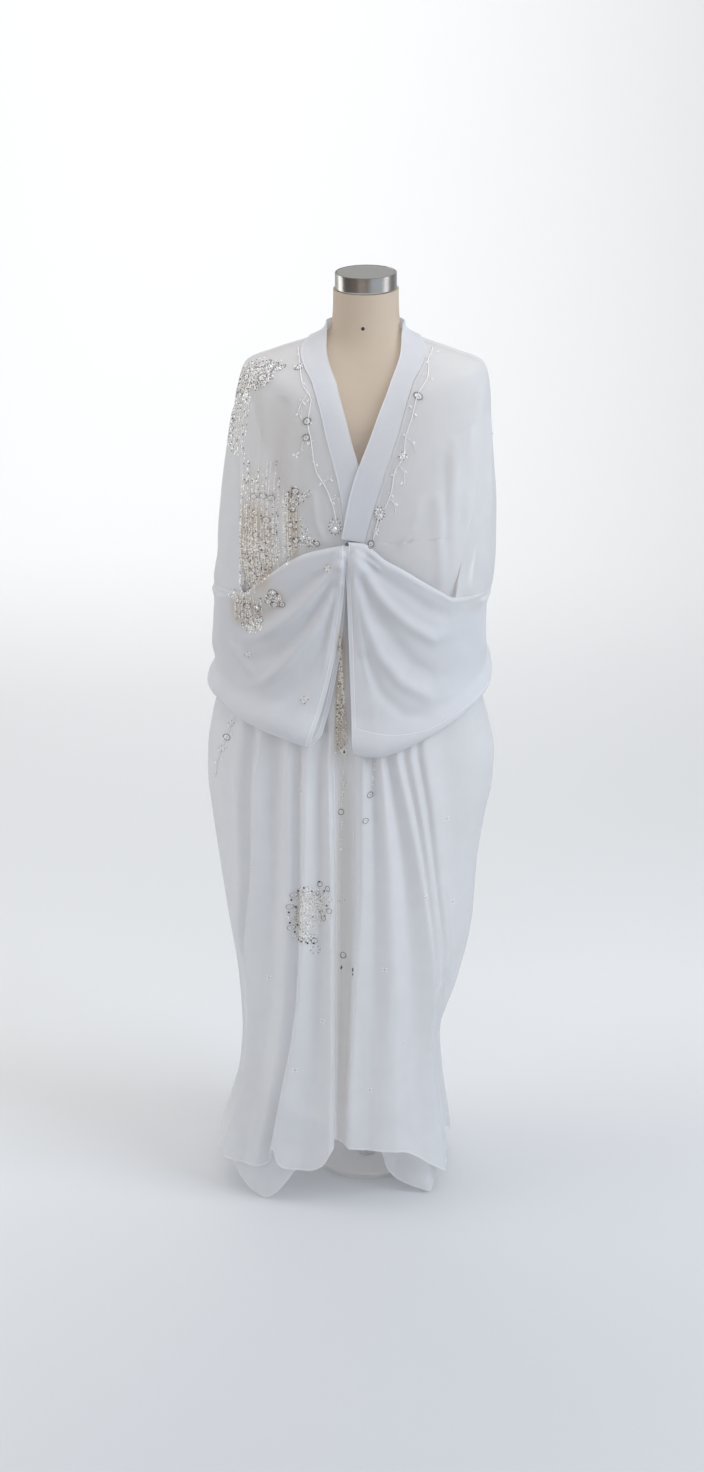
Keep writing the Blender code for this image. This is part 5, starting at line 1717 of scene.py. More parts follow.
    def build_beads(self, kind: Bead, name: str, material: Material) -> None:
        """Makes all beads of one kind, one piece for each cloth piece that carries some.

        Args:
            kind: The kind of bead.
            name: The pieces' name, before their carrier's.
            material: Their material.
        """
        rows = np.array(self.placed[kind])
        points, outward, carrier = self.seat(rows[:, 0], rows[:, 1], 0.0)
        outward = outward + self.random.normal(0, 0.14, outward.shape)
        outward /= np.linalg.norm(outward, axis=1, keepdims=True)
        up = np.array([0.0, 0.0, 1.0]) - outward * outward[:, 2:3]
        up /= np.linalg.norm(up, axis=1, keepdims=True)
        across = np.cross(up, outward)
        spin = np.radians(rows[:, 3:4])
        along = up * np.cos(spin) + across * np.sin(spin)
        across = np.cross(along, outward)
        unit, unit_faces = kind.value.mesh()
        axes = enumerate((across, along, outward))
        shape = sum(unit[None, :, i:i + 1] * axis[:, None] for i, axis in axes)
        everything = points[:, None] + shape * rows[:, 2][:, None, None]
        count = len(unit)
        for number in range(len(self.carriers)):
            mine = np.flatnonzero(carrier == number)
            if len(mine):
                starts = range(0, len(mine) * count, count)
                faces = [tuple(start + v for v in face) for start in starts for face in unit_faces]
                self.keep(name, number, everything[mine], faces, np.repeat(rows[mine, 4], count), material)

    def build_cords(self, name: str, material: Material, sides: int = 6) -> None:
        """Makes every vine cord, as tubes that lie on the cloth piece under their first end.

        Args:
            name: The pieces' name, before their carrier's.
            material: Their material.
            sides: How many sides each tube has.
        """
        points: dict[int, list[list[float]]] = {}
        faces: dict[int, list[Face]] = {}
        turns = np.arange(sides) * 2 * math.pi / sides
        for angle, z, width in self.cords:
            middle, outward, carrier = self.seat(angle, z, width * 0.35)
            middle, outward, carrier = middle[carrier >= 0], outward[carrier >= 0], carrier[carrier >= 0]
            if len(middle) < 3:
                continue
            mine, skin = points.setdefault(int(carrier[0]), []), faces.setdefault(int(carrier[0]), [])
            ahead = np.gradient(middle, axis=0)
            ahead /= np.linalg.norm(ahead, axis=1, keepdims=True)
            across = np.cross(ahead, outward)
            across /= np.linalg.norm(across, axis=1, keepdims=True)
            upward = np.cross(across, ahead)
            count = np.arange(len(middle))
            taper = np.minimum(np.minimum(count, count[::-1]) / 3 + 0.35, 1.0)
            first = len(mine)
            for place, side, top, share in zip(middle, across, upward, taper):
                ring = side * np.cos(turns)[:, None] + top * np.sin(turns)[:, None]
                mine += (place + ring * width / 2 * share).tolist()
            for r in range(len(middle) - 1):
                for c in range(sides):
                    here, there = first + r * sides + c, first + r * sides + (c + 1) % sides
                    skin.append((here, there, there + sides, here + sides))
            skin.append(tuple(first + c for c in range(sides))[::-1])
            skin.append(tuple(first + (len(middle) - 1) * sides + c for c in range(sides)))
        for number, mine in points.items():
            self.keep(name, number, np.array(mine), faces[number], None, material)


# Each kind of bead's pieces and finish: light, warm and dark colour, dark share, roughness, metal, coat.
BEAD_FINISHES = {
    Bead.SEQUIN: ("sequins", Glitter(
        "sequin_silver", (0.95, 0.95, 0.95), (0.87, 0.83, 0.77), (0.13, 0.118, 0.108), 0.04, 0.24, 0.5)),
    Bead.SEED: ("seed_beads", Glitter(
        "seed_glass", (0.95, 0.95, 0.94), (0.89, 0.85, 0.79), (0.13, 0.115, 0.105), 0.04, 0.18, 0.06, 0.6)),
    Bead.BUGLE: ("bugle_beads", Glitter(
        "bugle_lined", (0.95, 0.94, 0.92), (0.87, 0.83, 0.77), (0.2, 0.18, 0.16), 0.04, 0.2, 0.22, 0.5)),
    Bead.JEWEL: ("jewels", Glitter(
        "jewel_crystal", (0.92, 0.93, 0.96), (0.8, 0.8, 0.8), (0.05, 0.05, 0.05), 0.04, 0.06, 0.6, 1.0)),
    Bead.PETAL: ("petals", Glitter(
        "petal_pearl", (0.86, 0.86, 0.87), (0.78, 0.74, 0.7), (0.1, 0.09, 0.09), 0.05, 0.3, 0.25, 0.3)),
}
VINE_CORD = Solid(
    "vine_rayon", (0.86, 0.85, 0.85), (0.76, 0.75, 0.75), 0.5, grain_pitch=0.0006, bump_depth=0.0003
)


class Embroidery(Beadwork):
    """Where the beadwork lies: shoulder, side of the bodice, swag end, vines and skirt motifs."""

    def flowers(self, table: Sequence[tuple[float, float, float, bool]]) -> None:
        """Places flowers from rows of angle, height, radius and whether it is dark."""
        for angle, z, radius, dark in table:
            self.rosette(angle, z, radius, dark)

    def strings(self, low: float, high: float, spacing: float, top: float,
                bottom: float | Callable[[float], float], ragged: float, **looks: float) -> None:
        """Hangs strings side by side.

        Args:
            low: The first string's angle.
            high: The last one's.
            spacing: Degrees between strings.
            top: Their top height.
            bottom: Their bottom height, or what gives it from a string's angle.
            ragged: How uneven the ends are, in metres.
            looks: The strings' own settings.
        """
        for angle in np.arange(low, high, spacing):
            ends = self.random.uniform(-ragged, ragged, 2)
            foot = bottom(angle) if callable(bottom) else bottom
            start = (angle + self.random.normal(0, 0.2), top + ends[0])
            self.strand(start, (angle, foot + ends[1] * 0.4), **looks)

    def shoulder(self) -> None:
        """Flowers and curls on the shoulder, with strings hanging from them down the armhole."""
        self.flowers((
            (-77, 1.432, 0.0052, False), (-71, 1.433, 0.0058, True), (-66, 1.431, 0.0052, True),
            (-61.5, 1.429, 0.005, True), (-69, 1.419, 0.0052, False), (-64, 1.415, 0.0052, True),
            (-60.5, 1.413, 0.0048, False), (-74, 1.412, 0.0052, True), (-70, 1.4, 0.0054, True),
            (-65.5, 1.399, 0.0048, False), (-74.5, 1.39, 0.005, True), (-70.5, 1.384, 0.0044, False),
            (-80.5, 1.402, 0.0046, True), (-82, 1.38, 0.0044, True), (-81.5, 1.356, 0.0044, False),
            (-80.8, 1.336, 0.0044, True), (-79.5, 1.312, 0.0042, False),
        ))
        for angle, z, turn in ((-79, 1.42, 20), (-73, 1.424, 120), (-63, 1.423, 200), (-67, 1.408, 300),
                               (-72, 1.396, 60), (-76.5, 1.4, 240), (-62.5, 1.404, 150)):
            self.scroll(angle, z, 0.0068, turn)
        self.fill((-74.5, 1.412), (8, 0.03), 300, 0.08)
        self.fill((-66, 1.418), (6.5, 0.022), 120, 0.08)
        self.strings(-83.0, -76.5, 1.1, 1.4, 1.3, 0.01, gaps=0.06, dark=0.1)
        self.strings(-76.5, -67.5, 0.95, 1.392, 1.288, 0.018, gaps=0.14, dark=0.02)

    def side_block(self) -> None:
        """The large block of strings on the side of the bodice, ragged along its top."""

        def foot(angle: float) -> float:
            """The height where the sleeve's fold hides the strings."""
            return 1.072 + 0.048 * float(ramp(angle, -64.0, -46.0))

        self.strings(-66.6, -47.4, 1.02, 1.27, foot, 0.024, gaps=0.12, dark=0.03)
        self.strings(-66.2, -57.0, 2.4, 1.19, foot, 0.03, dark=0.05)
        self.fill((-60.5, 1.128), (5.8, 0.046), 330, 0.05)
        self.fill((-53, 1.15), (4.6, 0.04), 170, 0.04)
        self.strings(-46.6, -43.2, 0.8, 1.238, 1.122, 0.01, gaps=0.02, dark=0.02)
        self.strings(-43.0, -39.0, 1.0, 1.232, 1.138, 0.014, gaps=0.16, dark=0.16)
        self.flowers((
            (-60.5, 1.226, 0.0045, True), (-55.5, 1.229, 0.0045, True), (-52, 1.226, 0.0042, True),
            (-59.5, 1.2, 0.0042, True), (-54, 1.19, 0.0046, True), (-63.5, 1.178, 0.0042, False),
            (-50.8, 1.172, 0.0046, True), (-58.8, 1.163, 0.0044, True), (-64, 1.126, 0.0042, True),
            (-55, 1.146, 0.004, False), (-60, 1.104, 0.0044, True), (-51, 1.135, 0.0038, False),
            (-39.8, 1.24, 0.005, True), (-35.8, 1.23, 0.006, False), (-41.3, 1.211, 0.0046, True),
            (-42.6, 1.185, 0.0046, True), (-40, 1.16, 0.0048, True), (-36, 1.166, 0.0058, False),
            (-32.5, 1.156, 0.0046, False), (-28, 1.156, 0.0042, True), (-37.5, 1.196, 0.0036, False),
        ))
        self.fill((-34, 1.158), (7, 0.008), 70, 0.1)
        self.fill((-40.5, 1.232), (3.4, 0.018), 50, 0.18)
        self.scroll(-33.0, 1.236, 0.007, 100)
        self.scroll(-34.5, 1.18, 0.007, 10)
        for spin in (40, 150, 270):
            self.add(Bead.PETAL, *self.around(-40.0, 1.298, 0.003, spin), 0.0052, spin, 0.1)

    def swag_end(self) -> None:
        """The beaded end of the right sleeve, next to the armhole."""

        def foot(angle: float) -> float:
            """The strings' lower ends, lowest in the middle."""
            return 1.01 + 0.0018 * abs(angle + 61.0)

        self.strings(-68.5, -57.0, 0.95, 1.063, foot, 0.008, dark=0.08)
        self.flowers((
            (-66.5, 1.052, 0.0042, True), (-62.8, 1.046, 0.0045, True), (-58.5, 1.046, 0.0044, True),
            (-60.5, 1.026, 0.0045, False), (-64.8, 1.03, 0.004, True), (-57.5, 1.024, 0.004, True),
            (-61.5, 1.01, 0.0044, False), (-51.2, 1.074, 0.0048, True), (-48.8, 1.064, 0.0048, False),
            (-50.8, 1.054, 0.0046, True), (-53.2, 1.058, 0.0042, True), (-47.2, 1.054, 0.004, True),
        ))
        self.fill((-60.5, 1.016), (5, 0.014), 110, 0.08)
        self.fill((-50.8, 1.062), (3.6, 0.014), 60, 0.1)
        self.fill((-69, 1.06), (2.4, 0.008), 26, 0.06)

    def band_vines(self) -> None:
        """A flowering vine beside each front edge of the neckband."""
        left = (
            (-72, 1.4575), (-62.7, 1.448), (-53, 1.432), (-43.6, 1.406), (-35.4, 1.381), (-34.9, 1.351),
            (-32.2, 1.323), (-28.4, 1.275), (-21.5, 1.244), (-17, 1.212), (-15.6, 1.192),
        )
        right = (
            (79, 1.4605), (70, 1.4535), (60.5, 1.443), (50.2, 1.418), (40.2, 1.391), (34.7, 1.356),
            (30.3, 1.325), (29.4, 1.301), (23.8, 1.277), (21.2, 1.242), (18.1, 1.221), (12.9, 1.197),
            (9.6, 1.165),
        )
        for stops in (left, right):
            self.vine(stops, 0.0016, 0.034)
        branches = (
            ((-39, 1.392), (-41, 1.37), (-38, 1.352)), ((-33, 1.33), (-36.5, 1.318), (-37.5, 1.3)),
            ((-24, 1.258), (-20, 1.262), (-17.5, 1.27)), ((-19, 1.228), (-15.5, 1.232), (-13, 1.24)),
            ((37, 1.37), (33, 1.382), (31, 1.398)), ((30.5, 1.33), (34, 1.322), (36, 1.306)),
            ((26, 1.286), (29.5, 1.27), (29, 1.252)), ((20, 1.232), (23.5, 1.222), (24, 1.206)),
        )
        for stops in branches:
            self.vine(stops, 0.001, 0.019)
        self.flowers((
            (-53, 1.433, 0.0054, True), (-35.4, 1.352, 0.0056, True), (-35, 1.326, 0.0054, True),
            (41, 1.392, 0.0056, True), (28.6, 1.3, 0.006, False), (8.4, 1.158, 0.0054, True),
            (12.8, 1.18, 0.0038, False),
        ))
        self.drop(-16.4, 1.183, 0.03, rim=DARK)
        self.drop(13.8, 1.206, 0.025, rim=DARK)
        self.strand((15, 1.196), (9.5, 1.164), 0.0034)

    def swag_motifs(self) -> None:
        """Single flowers on the sleeves and at the skirt's sides."""
        self.flowers((
            (-21.1, 1.12, 0.005, False), (-32.8, 0.899, 0.0056, False), (-62.4, 0.965, 0.004, False),
            (-73, 0.812, 0.005, True), (-71, 0.838, 0.0044, False), (-75, 0.79, 0.0044, False),
        ))
        self.vine(((-69.5, 0.852), (-72, 0.826), (-74, 0.8), (-77, 0.765), (-78.3, 0.736)), 0.0014, 0.012)

    def slit(self) -> None:
        """The beaded strip between the cuffs, and what hangs from it down the centre."""
        for share in np.linspace(0, 1, 9):
            start = (-13.8 + 0.8 * share, 1.006 - 0.03 * share)
            self.strand(start, (-14.8 + 7.6 * share, 0.809), 0.0031, 0.16, 0.07, 0.88)
        self.flowers((
            (-13.6, 0.985, 0.0036, True), (-11.5, 0.88, 0.0038, False), (-9.8, 0.842, 0.0038, False),
            (-9.5, 0.758, 0.0042, False), (-11.3, 0.708, 0.0048, True), (7.5, 0.742, 0.0048, True),
            (4.8, 0.7, 0.0042, True), (-10.6, 0.554, 0.0044, False), (-9.9, 0.457, 0.005, True),
        ))
        self.drop(-9.6, 0.812, 0.014, stone=DARK, rim=0.9)
        self.strand((-9, 0.804), (-10.2, 0.77), 0.003, 0.04)
        self.strand((-9.6, 0.752), (-11.2, 0.716), 0.003, 0.04)
        self.strand((11, 0.806), (8.6, 0.756), 0.003, 0.04)
        self.strand((-10.8, 0.69), (-11.5, 0.64), 0.004, 0.2)
        self.add(Bead.PETAL, -11.1, 0.435, 0.0062, 20, 0.98)
        self.add(Bead.PETAL, -3.0, 0.436, 0.007, 170, 0.98)
        self.add(Bead.JEWEL, -3.0, 0.428, 0.0038, 0, 0.98)

    def skirt_leaf(self) -> None:
        """The leaf-shaped cluster on the right of the skirt."""
        edge = (
            (-38.5, 0.56, True), (-40.2, 0.54, True), (-40.2, 0.52, False), (-40, 0.502, True),
            (-38, 0.484, False), (-33.5, 0.488, True), (-30, 0.49, False), (-27.2, 0.482, True),
            (-34, 0.572, False), (-29.5, 0.576, False), (-24, 0.582, True), (-18.5, 0.578, True),
            (-17.5, 0.56, False), (-17.5, 0.54, True), (-21.5, 0.524, True), (-36.5, 0.53, True),
            (-35, 0.505, True), (-30.5, 0.548, False), (-26, 0.566, True),
        )
        self.flowers([(angle, z, 0.0042, dark) for angle, z, dark in edge])
        self.fill((-29, 0.54), (9.4, 0.036), 680, 0.03)
        self.fill((-34.5, 0.515), (5, 0.028), 260, 0.05)
        self.fill((-30.5, 0.489), (4.2, 0.009), 80, 0.12)
        for angle, z, turn in ((-30, 0.56, 40), (-25, 0.545, 160), (-33, 0.535, 280), (-22, 0.562, 90)):
            self.scroll(angle, z, 0.0075, turn)
        self.vine(((-31, 0.556), (-26, 0.553), (-21.5, 0.56)), 0.0014, 0.02)
        jewels = (
            (-39.5, 0.552), (-40.6, 0.53), (-40.4, 0.511), (-38.8, 0.493), (-33, 0.484), (-27.5, 0.478),
            (-24.5, 0.586), (-31.5, 0.579), (-24, 0.533), (-19, 0.548), (-36.8, 0.566), (-35.6, 0.482),
            (-30.2, 0.48), (-38, 0.538), (-37.6, 0.505), (-28, 0.571), (-21, 0.572),
        )
        for angle, z in jewels:
            self.add(Bead.JEWEL, angle, z, 0.0038, 0, 0.99)
        self.ring(Bead.SEED, (-26.5, 0.466), 0.0065, 12, FULL_SEED_WIDTH, (0.3, DARK))

    def scattered(self) -> None:
        """Tiny sprigs here and there over the front of the skirt and bodice."""
        places = (
            (7.5, 0.221), (62.3, 0.536), (53.8, 0.69), (-36.1, 0.25), (16.6, 0.438), (-34.1, 0.743),
            (54, 0.393), (-59.8, 0.602), (-88, 1.318), (88, 1.318), (-55, 0.4), (30, 0.3), (-22, 0.34),
            (41, 0.56),
        )
        for angle, z in places:
            self.add(Bead.JEWEL, angle, z, 0.0034, fleck=PALE)
            self.ring(Bead.SEED, (angle, z), 0.0036, 4, SEED_WIDTH, (0.2,), 45)

    def build(self) -> dict[str, list[Piece]]:
        """Places every motif and makes the pieces, filed under the cloth that carries them."""
        self.shoulder()
        self.side_block()
        self.swag_end()
        self.band_vines()
        self.swag_motifs()
        self.slit()
        self.skirt_leaf()
        self.scattered()
        for kind, (name, finish) in BEAD_FINISHES.items():
            self.build_beads(kind, name, finish.material())
        self.build_cords("vine_cords", VINE_CORD.material())
        return self.pieces


@dataclass
class ReflectionCard:
    """A curved card round the studio that only shiny things see, so that metal has something to mirror.

    Its start and end are azimuths from the front, plus toward the wearer's left.
    """

    name: str
    start: float
    end: float
    colour: Triple
    radius: float = 3.4
    bottom: float = -0.2
    top: float = 3.6

    def build(self) -> Piece:
        """Makes the card."""
        turns = np.radians(np.linspace(self.start, self.end, 9))
        points = [
            (self.radius * math.sin(turn), -self.radius * math.cos(turn), z)
            for turn in turns for z in (self.bottom, self.top)
        ]
        faces = [(2 * i, 2 * i + 1, 2 * i + 3, 2 * i + 2) for i in range(len(turns) - 1)]
        mesh = bpy.data.meshes.new(self.name)
        mesh.from_pydata(points, [], faces)
        card = new_object(self.name, mesh)
        graph = Graph(self.name)
        shine = graph.add("ShaderNodeEmission", {"Color": (*self.colour, 1.0)}).outputs[0]
        card.data.materials.append(graph.finish(shine))
        card.visible_camera = card.visible_diffuse = card.visible_transmission = False
        card.visible_shadow = card.visible_volume_scatter = False
        return card


@dataclass(frozen=True)
class PaleSweep:
    """The studio floor's matte paint, with a painted shadow: greyer in a soft round patch before the form,
    toward the wearer's left.
    """

    colour: Triple = (0.8, 0.81, 0.82)
    # The painted shadow's colour, at the middle of its patch.
    shade: Triple = (0.6, 0.615, 0.64)

    def material(self) -> Material:
        """The floor's material, with its painted shadow."""
        graph = Graph("pale_sweep")
        solid_place = graph.solid_place()
        # Painted shadow: the floor turns to the shade colour round a point about 1.1 m before the form and
        # 0.64 m toward the wearer's left, and back to its own colour farther out.
        spread = {"Vector": solid_place, "Scale": (0.42, 0.5, 0.5), "Location": (-0.27, 0.55, 0.0)}
        from_shadow_middle = graph.add("ShaderNodeMapping", spread).outputs[0]
        reach = graph.add("ShaderNodeVectorMath", {0: from_shadow_middle}, operation="LENGTH").outputs["Value"]
        share = graph.share_between(reach, 0.15, 1.15, interpolation_type="SMOOTHSTEP")
        level = graph.maths("MULTIPLY_ADD", graph.noise(solid_place, 0.4), 0.06, share)
        colour = graph.colour_between(level, self.shade, self.colour)
        inputs = {"Base Color": colour, "Roughness": 0.85}
        return graph.opaque(inputs)


@dataclass
class Softbox:
    """One large soft light, aimed at a point."""

    name: str
    place: Triple
    aim: Triple
    width: float
    height: float
    watts: float
    colour: Triple = (1.0, 1.0, 1.0)
    for_backdrop: bool = False

    def build(self, receivers: bpy.types.Collection) -> Piece:
        """Makes the light, which falls on the receivers as that collection says."""
        light = bpy.data.lights.new(self.name, "AREA")
        light.shape = "RECTANGLE"
        light.size = self.width
        light.size_y = self.height
        light.energy = self.watts
        light.color = self.colour
        obj = bpy.data.objects.new(self.name, light)
        obj.location = self.place
        toward = Vector(self.aim) - Vector(self.place)
        obj.rotation_euler = toward.to_track_quat("-Z", "Y").to_euler()
        obj.visible_camera = False
        bpy.context.scene.collection.objects.link(obj)
        obj.light_linking.receiver_collection = receivers
        return obj


@dataclass
class Studio:
    """A pale floor that sweeps up into a backdrop, soft lights and the camera."""

    lights: tuple[Softbox, ...]
    cards: tuple[ReflectionCard, ...]
    air: Triple = (0.95, 0.965, 1.0)
    air_strength: float = 0.34
    sweep_width: float = 17.0
    sweep_front: float = -8.5
    sweep_back: float = 5.6
    sweep_radius: float = 3.2
    sweep_top: float = 6.0
    camera_place: Triple = (0.3295, -4.1871, 2.0)
    camera_tilt: float = 74.049
    camera_turn: float = 4.8069
    camera_lens: float = 63.2

    def build_sweep(self, material: Material) -> Piece:
        """Makes the floor and backdrop in one curved sheet."""
        line = [(self.sweep_front, 0.0), (self.sweep_back, 0.0)]
        for turn in np.linspace(0, math.pi / 2, 33)[1:]:
            y = self.sweep_back + self.sweep_radius * math.sin(turn)
            line.append((y, self.sweep_radius * (1 - math.cos(turn))))
        line.append((line[-1][0], self.sweep_top))
        half = self.sweep_width / 2
        points = [(x, y, z) for y, z in line for x in (-half, half)]
        faces = [(2 * i, 2 * i + 1, 2 * i + 3, 2 * i + 2) for i in range(len(line) - 1)]
        mesh = bpy.data.meshes.new("studio_sweep")
        mesh.from_pydata(points, [], faces)
        sweep = new_object("studio_sweep", mesh)
        sweep.data.materials.append(material)
        return sweep

    def build_air(self) -> None:
        """Lights the room evenly from all round."""
        world = bpy.data.worlds.new("studio_air")
        world.use_nodes = True
        background = world.node_tree.nodes["Background"]
        background.inputs["Color"].default_value = (*self.air, 1.0)
        background.inputs["Strength"].default_value = self.air_strength
        bpy.context.scene.world = world

    def build_camera(self) -> None:
        """Places the camera where the photo was taken from."""
        data = bpy.data.cameras.new("photo_camera")
        data.sensor_width = 36.0
        data.lens = self.camera_lens
        data.clip_end = 60.0
        camera = bpy.data.objects.new("photo_camera", data)
        camera.location = self.camera_place
        camera.rotation_euler = (math.radians(self.camera_tilt), 0.0, math.radians(self.camera_turn))
        bpy.context.scene.collection.objects.link(camera)
        bpy.context.scene.camera = camera

    def build(self, material: Material, mirrors: Sequence[Piece]) -> None:
        """Makes the whole studio.

        Args:
            material: The floor's and backdrop's finish.
            mirrors: Pieces that the lights leave out, as they only mirror the cards.
        """
        backdrop_only = bpy.data.collections.new("backdrop_only")
        backdrop_only.objects.link(self.build_sweep(material))
        receivers = bpy.data.collections.new("light_receivers")
        for mirror in mirrors:
            receivers.objects.link(mirror)
        for entry in receivers.collection_objects:
            entry.light_linking.link_state = "EXCLUDE"
        for light in self.lights:
            light.build(backdrop_only if light.for_backdrop else receivers)
        for card in self.cards:
            card.build()
        self.build_air()
        self.build_camera()
        scene = bpy.context.scene
        scene.view_settings.view_transform = "Standard"
        scene.view_settings.look = "None"
        scene.cycles.max_bounces = 5
        scene.cycles.diffuse_bounces = 4
        scene.cycles.glossy_bounces = 3
        scene.cycles.transmission_bounces = 3
        scene.cycles.transparent_max_bounces = 24


STUDIO_LIGHTS = (
    Softbox("light_top", (0.0, 0.2, 3.6), (0.0, 0.1, 0.0), 3.4, 3.0, 40.0, (1.0, 0.995, 0.985)),
    Softbox("light_left", (-2.6, -0.6, 1.9), (0.0, 0.0, 1.0), 2.4, 2.6, 27.0, (1.0, 0.99, 0.97)),
    Softbox("light_right", (2.5, -1.2, 2.4), (0.0, 0.0, 1.35), 1.8, 1.8, 58.0, (0.84, 0.92, 1.0)),
    Softbox("light_front", (0.6, -3.4, 2.6), (0.0, 0.0, 0.9), 2.6, 1.8, 22.0, (0.97, 0.98, 1.0)),
    Softbox(
        "light_backdrop", (-1.6, 5.4, 4.4), (-1.3, 7.6, 0.6), 5.0, 4.0, 190.0, (1.0, 0.995, 0.985), True
    ),
)

STUDIO_CARDS = (
    ReflectionCard("card_back_left", -176.0, -122.0, (0.55, 0.55, 0.54)),
    ReflectionCard("card_left_strip", -120.0, -95.0, (2.0, 2.0, 1.95)),
    ReflectionCard("card_left_dark", -93.0, -58.0, (0.12, 0.108, 0.098)),
    ReflectionCard("card_left_umber", -58.0, -24.0, (0.185, 0.158, 0.138)),
    ReflectionCard("card_front_brown", -22.0, -5.0, (0.43, 0.35, 0.29)),
    ReflectionCard("card_front_dark", -4.0, 20.0, (0.29, 0.25, 0.225)),
    ReflectionCard("card_right_blue", 22.0, 72.0, (0.55, 0.59, 0.64)),
    ReflectionCard("card_right_strip", 76.0, 98.0, (1.5, 1.52, 1.55)),
    ReflectionCard("card_right_dark", 100.0, 136.0, (0.27, 0.27, 0.265)),
)

# Soft creases: points as (angle, height), stand-out in metres, half width.
SLEEVE_CREASES: dict[Side, tuple[Crease, ...]] = {
    Side.RIGHT: (
        (((-9.8, 1.15), (-21, 1.105), (-33.5, 1.064), (-46, 1.027), (-57, 0.998), (-70, 0.984)),
         0.0085, 0.0085),
        (((-10.6, 1.135), (-21, 1.066), (-33.5, 1.007), (-44, 0.96), (-54, 0.922), (-69, 0.903)),
         0.0085, 0.009),
        (((-70, 0.98), (-64, 0.95), (-57, 0.92)), 0.0045, 0.0055),
        (((-12, 1.128), (-29.8, 1.044), (-39.3, 1.003), (-49.4, 0.971), (-68, 0.94)), -0.006, 0.0115),
        (((-13, 1.1), (-25.4, 0.985), (-34.6, 0.933), (-44.2, 0.897), (-60, 0.876)), -0.005, 0.013),
        (((-11, 1.148), (-33.5, 1.091), (-46.3, 1.055), (-57.4, 1.028), (-70, 1.012)), -0.0045, 0.01),
        (((-9.8, 1.14), (-14, 1.085), (-19, 1.02), (-24, 0.93)), 0.0035, 0.005),
        (((-10, 1.152), (-20, 1.128), (-32, 1.106)), 0.003, 0.004),
        (((-78, 1.06), (-82, 0.99), (-88, 0.93)), 0.006, 0.012),
        (((-96, 1.05), (-98, 0.99), (-101, 0.94)), -0.0045, 0.012),
        (((-70, 1.18), (-74, 1.12), (-84, 1.06), (-96, 1.03)), 0.004, 0.01),
        (((-84, 1.36), (-83, 1.28), (-80, 1.2), (-82, 1.12)), 0.0035, 0.01),
        (((-97, 1.37), (-98, 1.28), (-101, 1.18), (-103, 1.08)), -0.0035, 0.011),
    ),
    Side.LEFT: (
        (((-4.5, 1.152), (3.4, 1.118), (11.4, 1.084), (22.4, 1.053), (34.6, 1.024), (47, 1.001),
          (66, 1.02)), 0.0072, 0.01),
        (((2, 1.142), (13.6, 1.112), (30.6, 1.08), (44.1, 1.05), (55, 1.038), (66, 1.048)),
         -0.0036, 0.0115),
        (((-4.4, 1.148), (0.3, 1.084), (5.7, 1.028), (14.7, 0.977), (27.8, 0.931), (43, 0.903),
          (62, 0.905)), 0.0066, 0.011),
        (((0, 1.12), (9.2, 1.056), (22.4, 1.005), (34.3, 0.96), (46, 0.937), (64, 0.946)), -0.0048, 0.014),
        (((-5, 1.14), (-2, 1.056), (3, 0.977), (9.5, 0.905)), 0.003, 0.005),
        (((4, 0.985), (14, 0.915), (28, 0.878), (48, 0.872)), -0.004, 0.011),
        (((-3, 1.152), (6, 1.135), (18, 1.112)), 0.003, 0.004),
        (((78, 1.06), (80, 0.99), (84, 0.935)), 0.0055, 0.012),
        (((95, 1.05), (98, 0.99), (102, 0.95)), -0.0045, 0.012),
        (((66, 1.2), (70, 1.13), (80, 1.075), (94, 1.04)), 0.004, 0.01),
        (((82, 1.35), (80, 1.28), (76, 1.2), (76, 1.11)), 0.004, 0.009),
        (((99, 1.36), (100, 1.27), (103, 1.17), (105, 1.08)), -0.0035, 0.011),
    ),
}
FRONT_CREASES: dict[Side, tuple[Crease, ...]] = {
    Side.RIGHT: (
        (((-60, 1.4), (-57, 1.323), (-56, 1.235), (-58, 1.09)), 0.004, 0.008),
        (((-50, 1.39), (-49, 1.29), (-50, 1.18)), -0.0028, 0.0085),
        (((-42, 1.3), (-43, 1.22), (-46, 1.11)), 0.0026, 0.008),
        (((-30, 1.24), (-28, 1.19), (-22, 1.15)), 0.0024, 0.006),
    ),
    Side.LEFT: (
        (((47, 1.24), (49, 1.162), (52.7, 1.06)), 0.0033, 0.0085),
        (((57, 1.33), (55.5, 1.261), (54.8, 1.189), (56, 1.06)), 0.0036, 0.0085),
        (((51, 1.3), (52, 1.2), (54, 1.1)), -0.0024, 0.0085),
        (((66.5, 1.34), (63.5, 1.235), (60, 1.12)), 0.003, 0.009),
        (((38, 1.23), (34, 1.18), (24, 1.145)), 0.0024, 0.007),
    ),
}
BACK_CREASES: tuple[Crease, ...] = (
    (((150, 1.4), (146, 1.3), (140, 1.18), (136, 1.06)), 0.005, 0.012),
    (((208, 1.4), (212, 1.29), (219, 1.17), (224, 1.06)), 0.005, 0.012),
    (((168, 1.36), (166, 1.26), (163, 1.13)), -0.004, 0.011),
    (((192, 1.37), (195, 1.25), (198, 1.12)), -0.0035, 0.012),
    (((122, 1.3), (120, 1.2), (116, 1.1)), 0.004, 0.01),
    (((238, 1.31), (240, 1.21), (244, 1.1)), 0.004, 0.01),
)


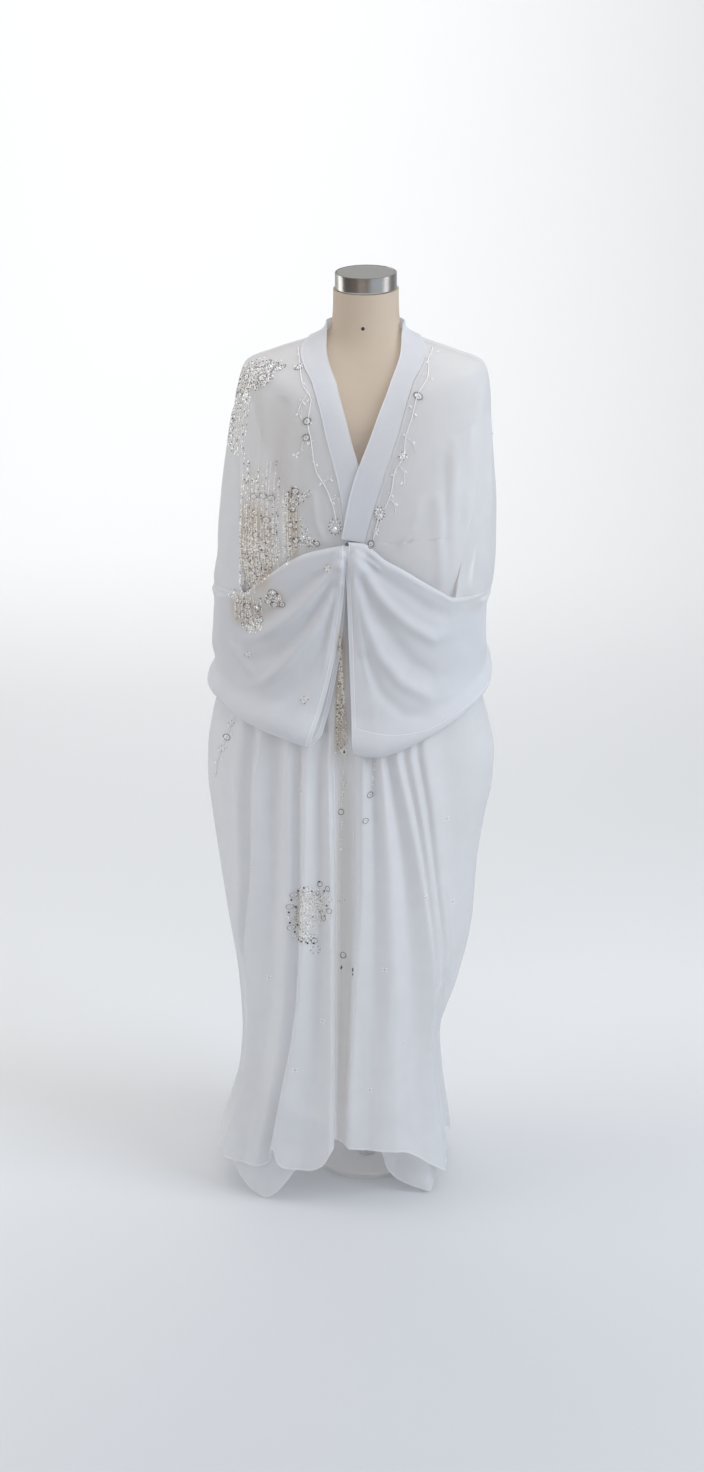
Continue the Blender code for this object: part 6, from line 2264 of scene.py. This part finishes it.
@dataclass(frozen=True)
class Cut:
    """A cloth piece's flat cut in metres and square metres, how it is held, and what it rests on."""

    width: float
    length: float
    area: float
    held: str
    rests_on: tuple[str, ...]


@dataclass
class Abaya:
    """The garment on its form: every cut piece, in the order it is made."""

    pieces: dict[str, Piece] = field(default_factory=dict)

    def build_cloth(self) -> None:
        """Makes the chiffon pieces and the band."""
        chiffon, swag, band = CHIFFON.material(), SWAG_CHIFFON.material(), BAND_CLOTH.material()
        self.pieces["back"] = BackPanel(BACK_CREASES).build(chiffon)
        for side in Side:
            self.pieces["front_" + side.value] = FrontPanel(side, FRONT_CREASES[side]).build(chiffon)
            self.pieces["sleeve_" + side.value] = Sleeve(side, SLEEVE_CREASES[side]).build(swag)
        self.pieces["neckband"] = Neckband().build(band)
        for name, piece in self.pieces.items():
            log.info("%s: %d faces, %.3f m2", name, len(piece.data.polygons), mesh_area(piece))

    def build_form(self) -> None:
        """Makes the dress form and stand."""
        for piece in DressForm().build():
            self.pieces[piece.name] = piece
            log.info("%s: %d faces", piece.name, len(piece.data.polygons))

    def build_snap(self) -> None:
        """Makes the snap at the hook."""
        snap = WaistSnap().build()
        log.info("%s: %d faces", snap.name, len(snap.data.polygons))

    def build_beadwork(self) -> dict[str, list[Piece]]:
        """Makes the beadwork on the cloth already built, filed under the cloth that carries it."""
        names = ("front_right", "front_left", "sleeve_right", "sleeve_left")
        beadwork = Embroidery({name: self.pieces[name] for name in names}).build()
        for piece in sum(beadwork.values(), []):
            log.info("%s: %d faces", piece.name, len(piece.data.polygons))
        return beadwork


def main() -> None:
    """Builds the garment, its form and the studio, and writes how large it all came out."""
    logging.basicConfig(level=logging.INFO, format="%(name)s %(message)s")
    garment = Abaya()
    garment.build_cloth()
    garment.build_form()
    garment.build_snap()
    garment.build_beadwork()
    Studio(STUDIO_LIGHTS, STUDIO_CARDS).build(PaleSweep().material(), [garment.pieces["neck_cap_steel"]])
    log.info("sizes written")


if __name__ == "__main__":
    main()
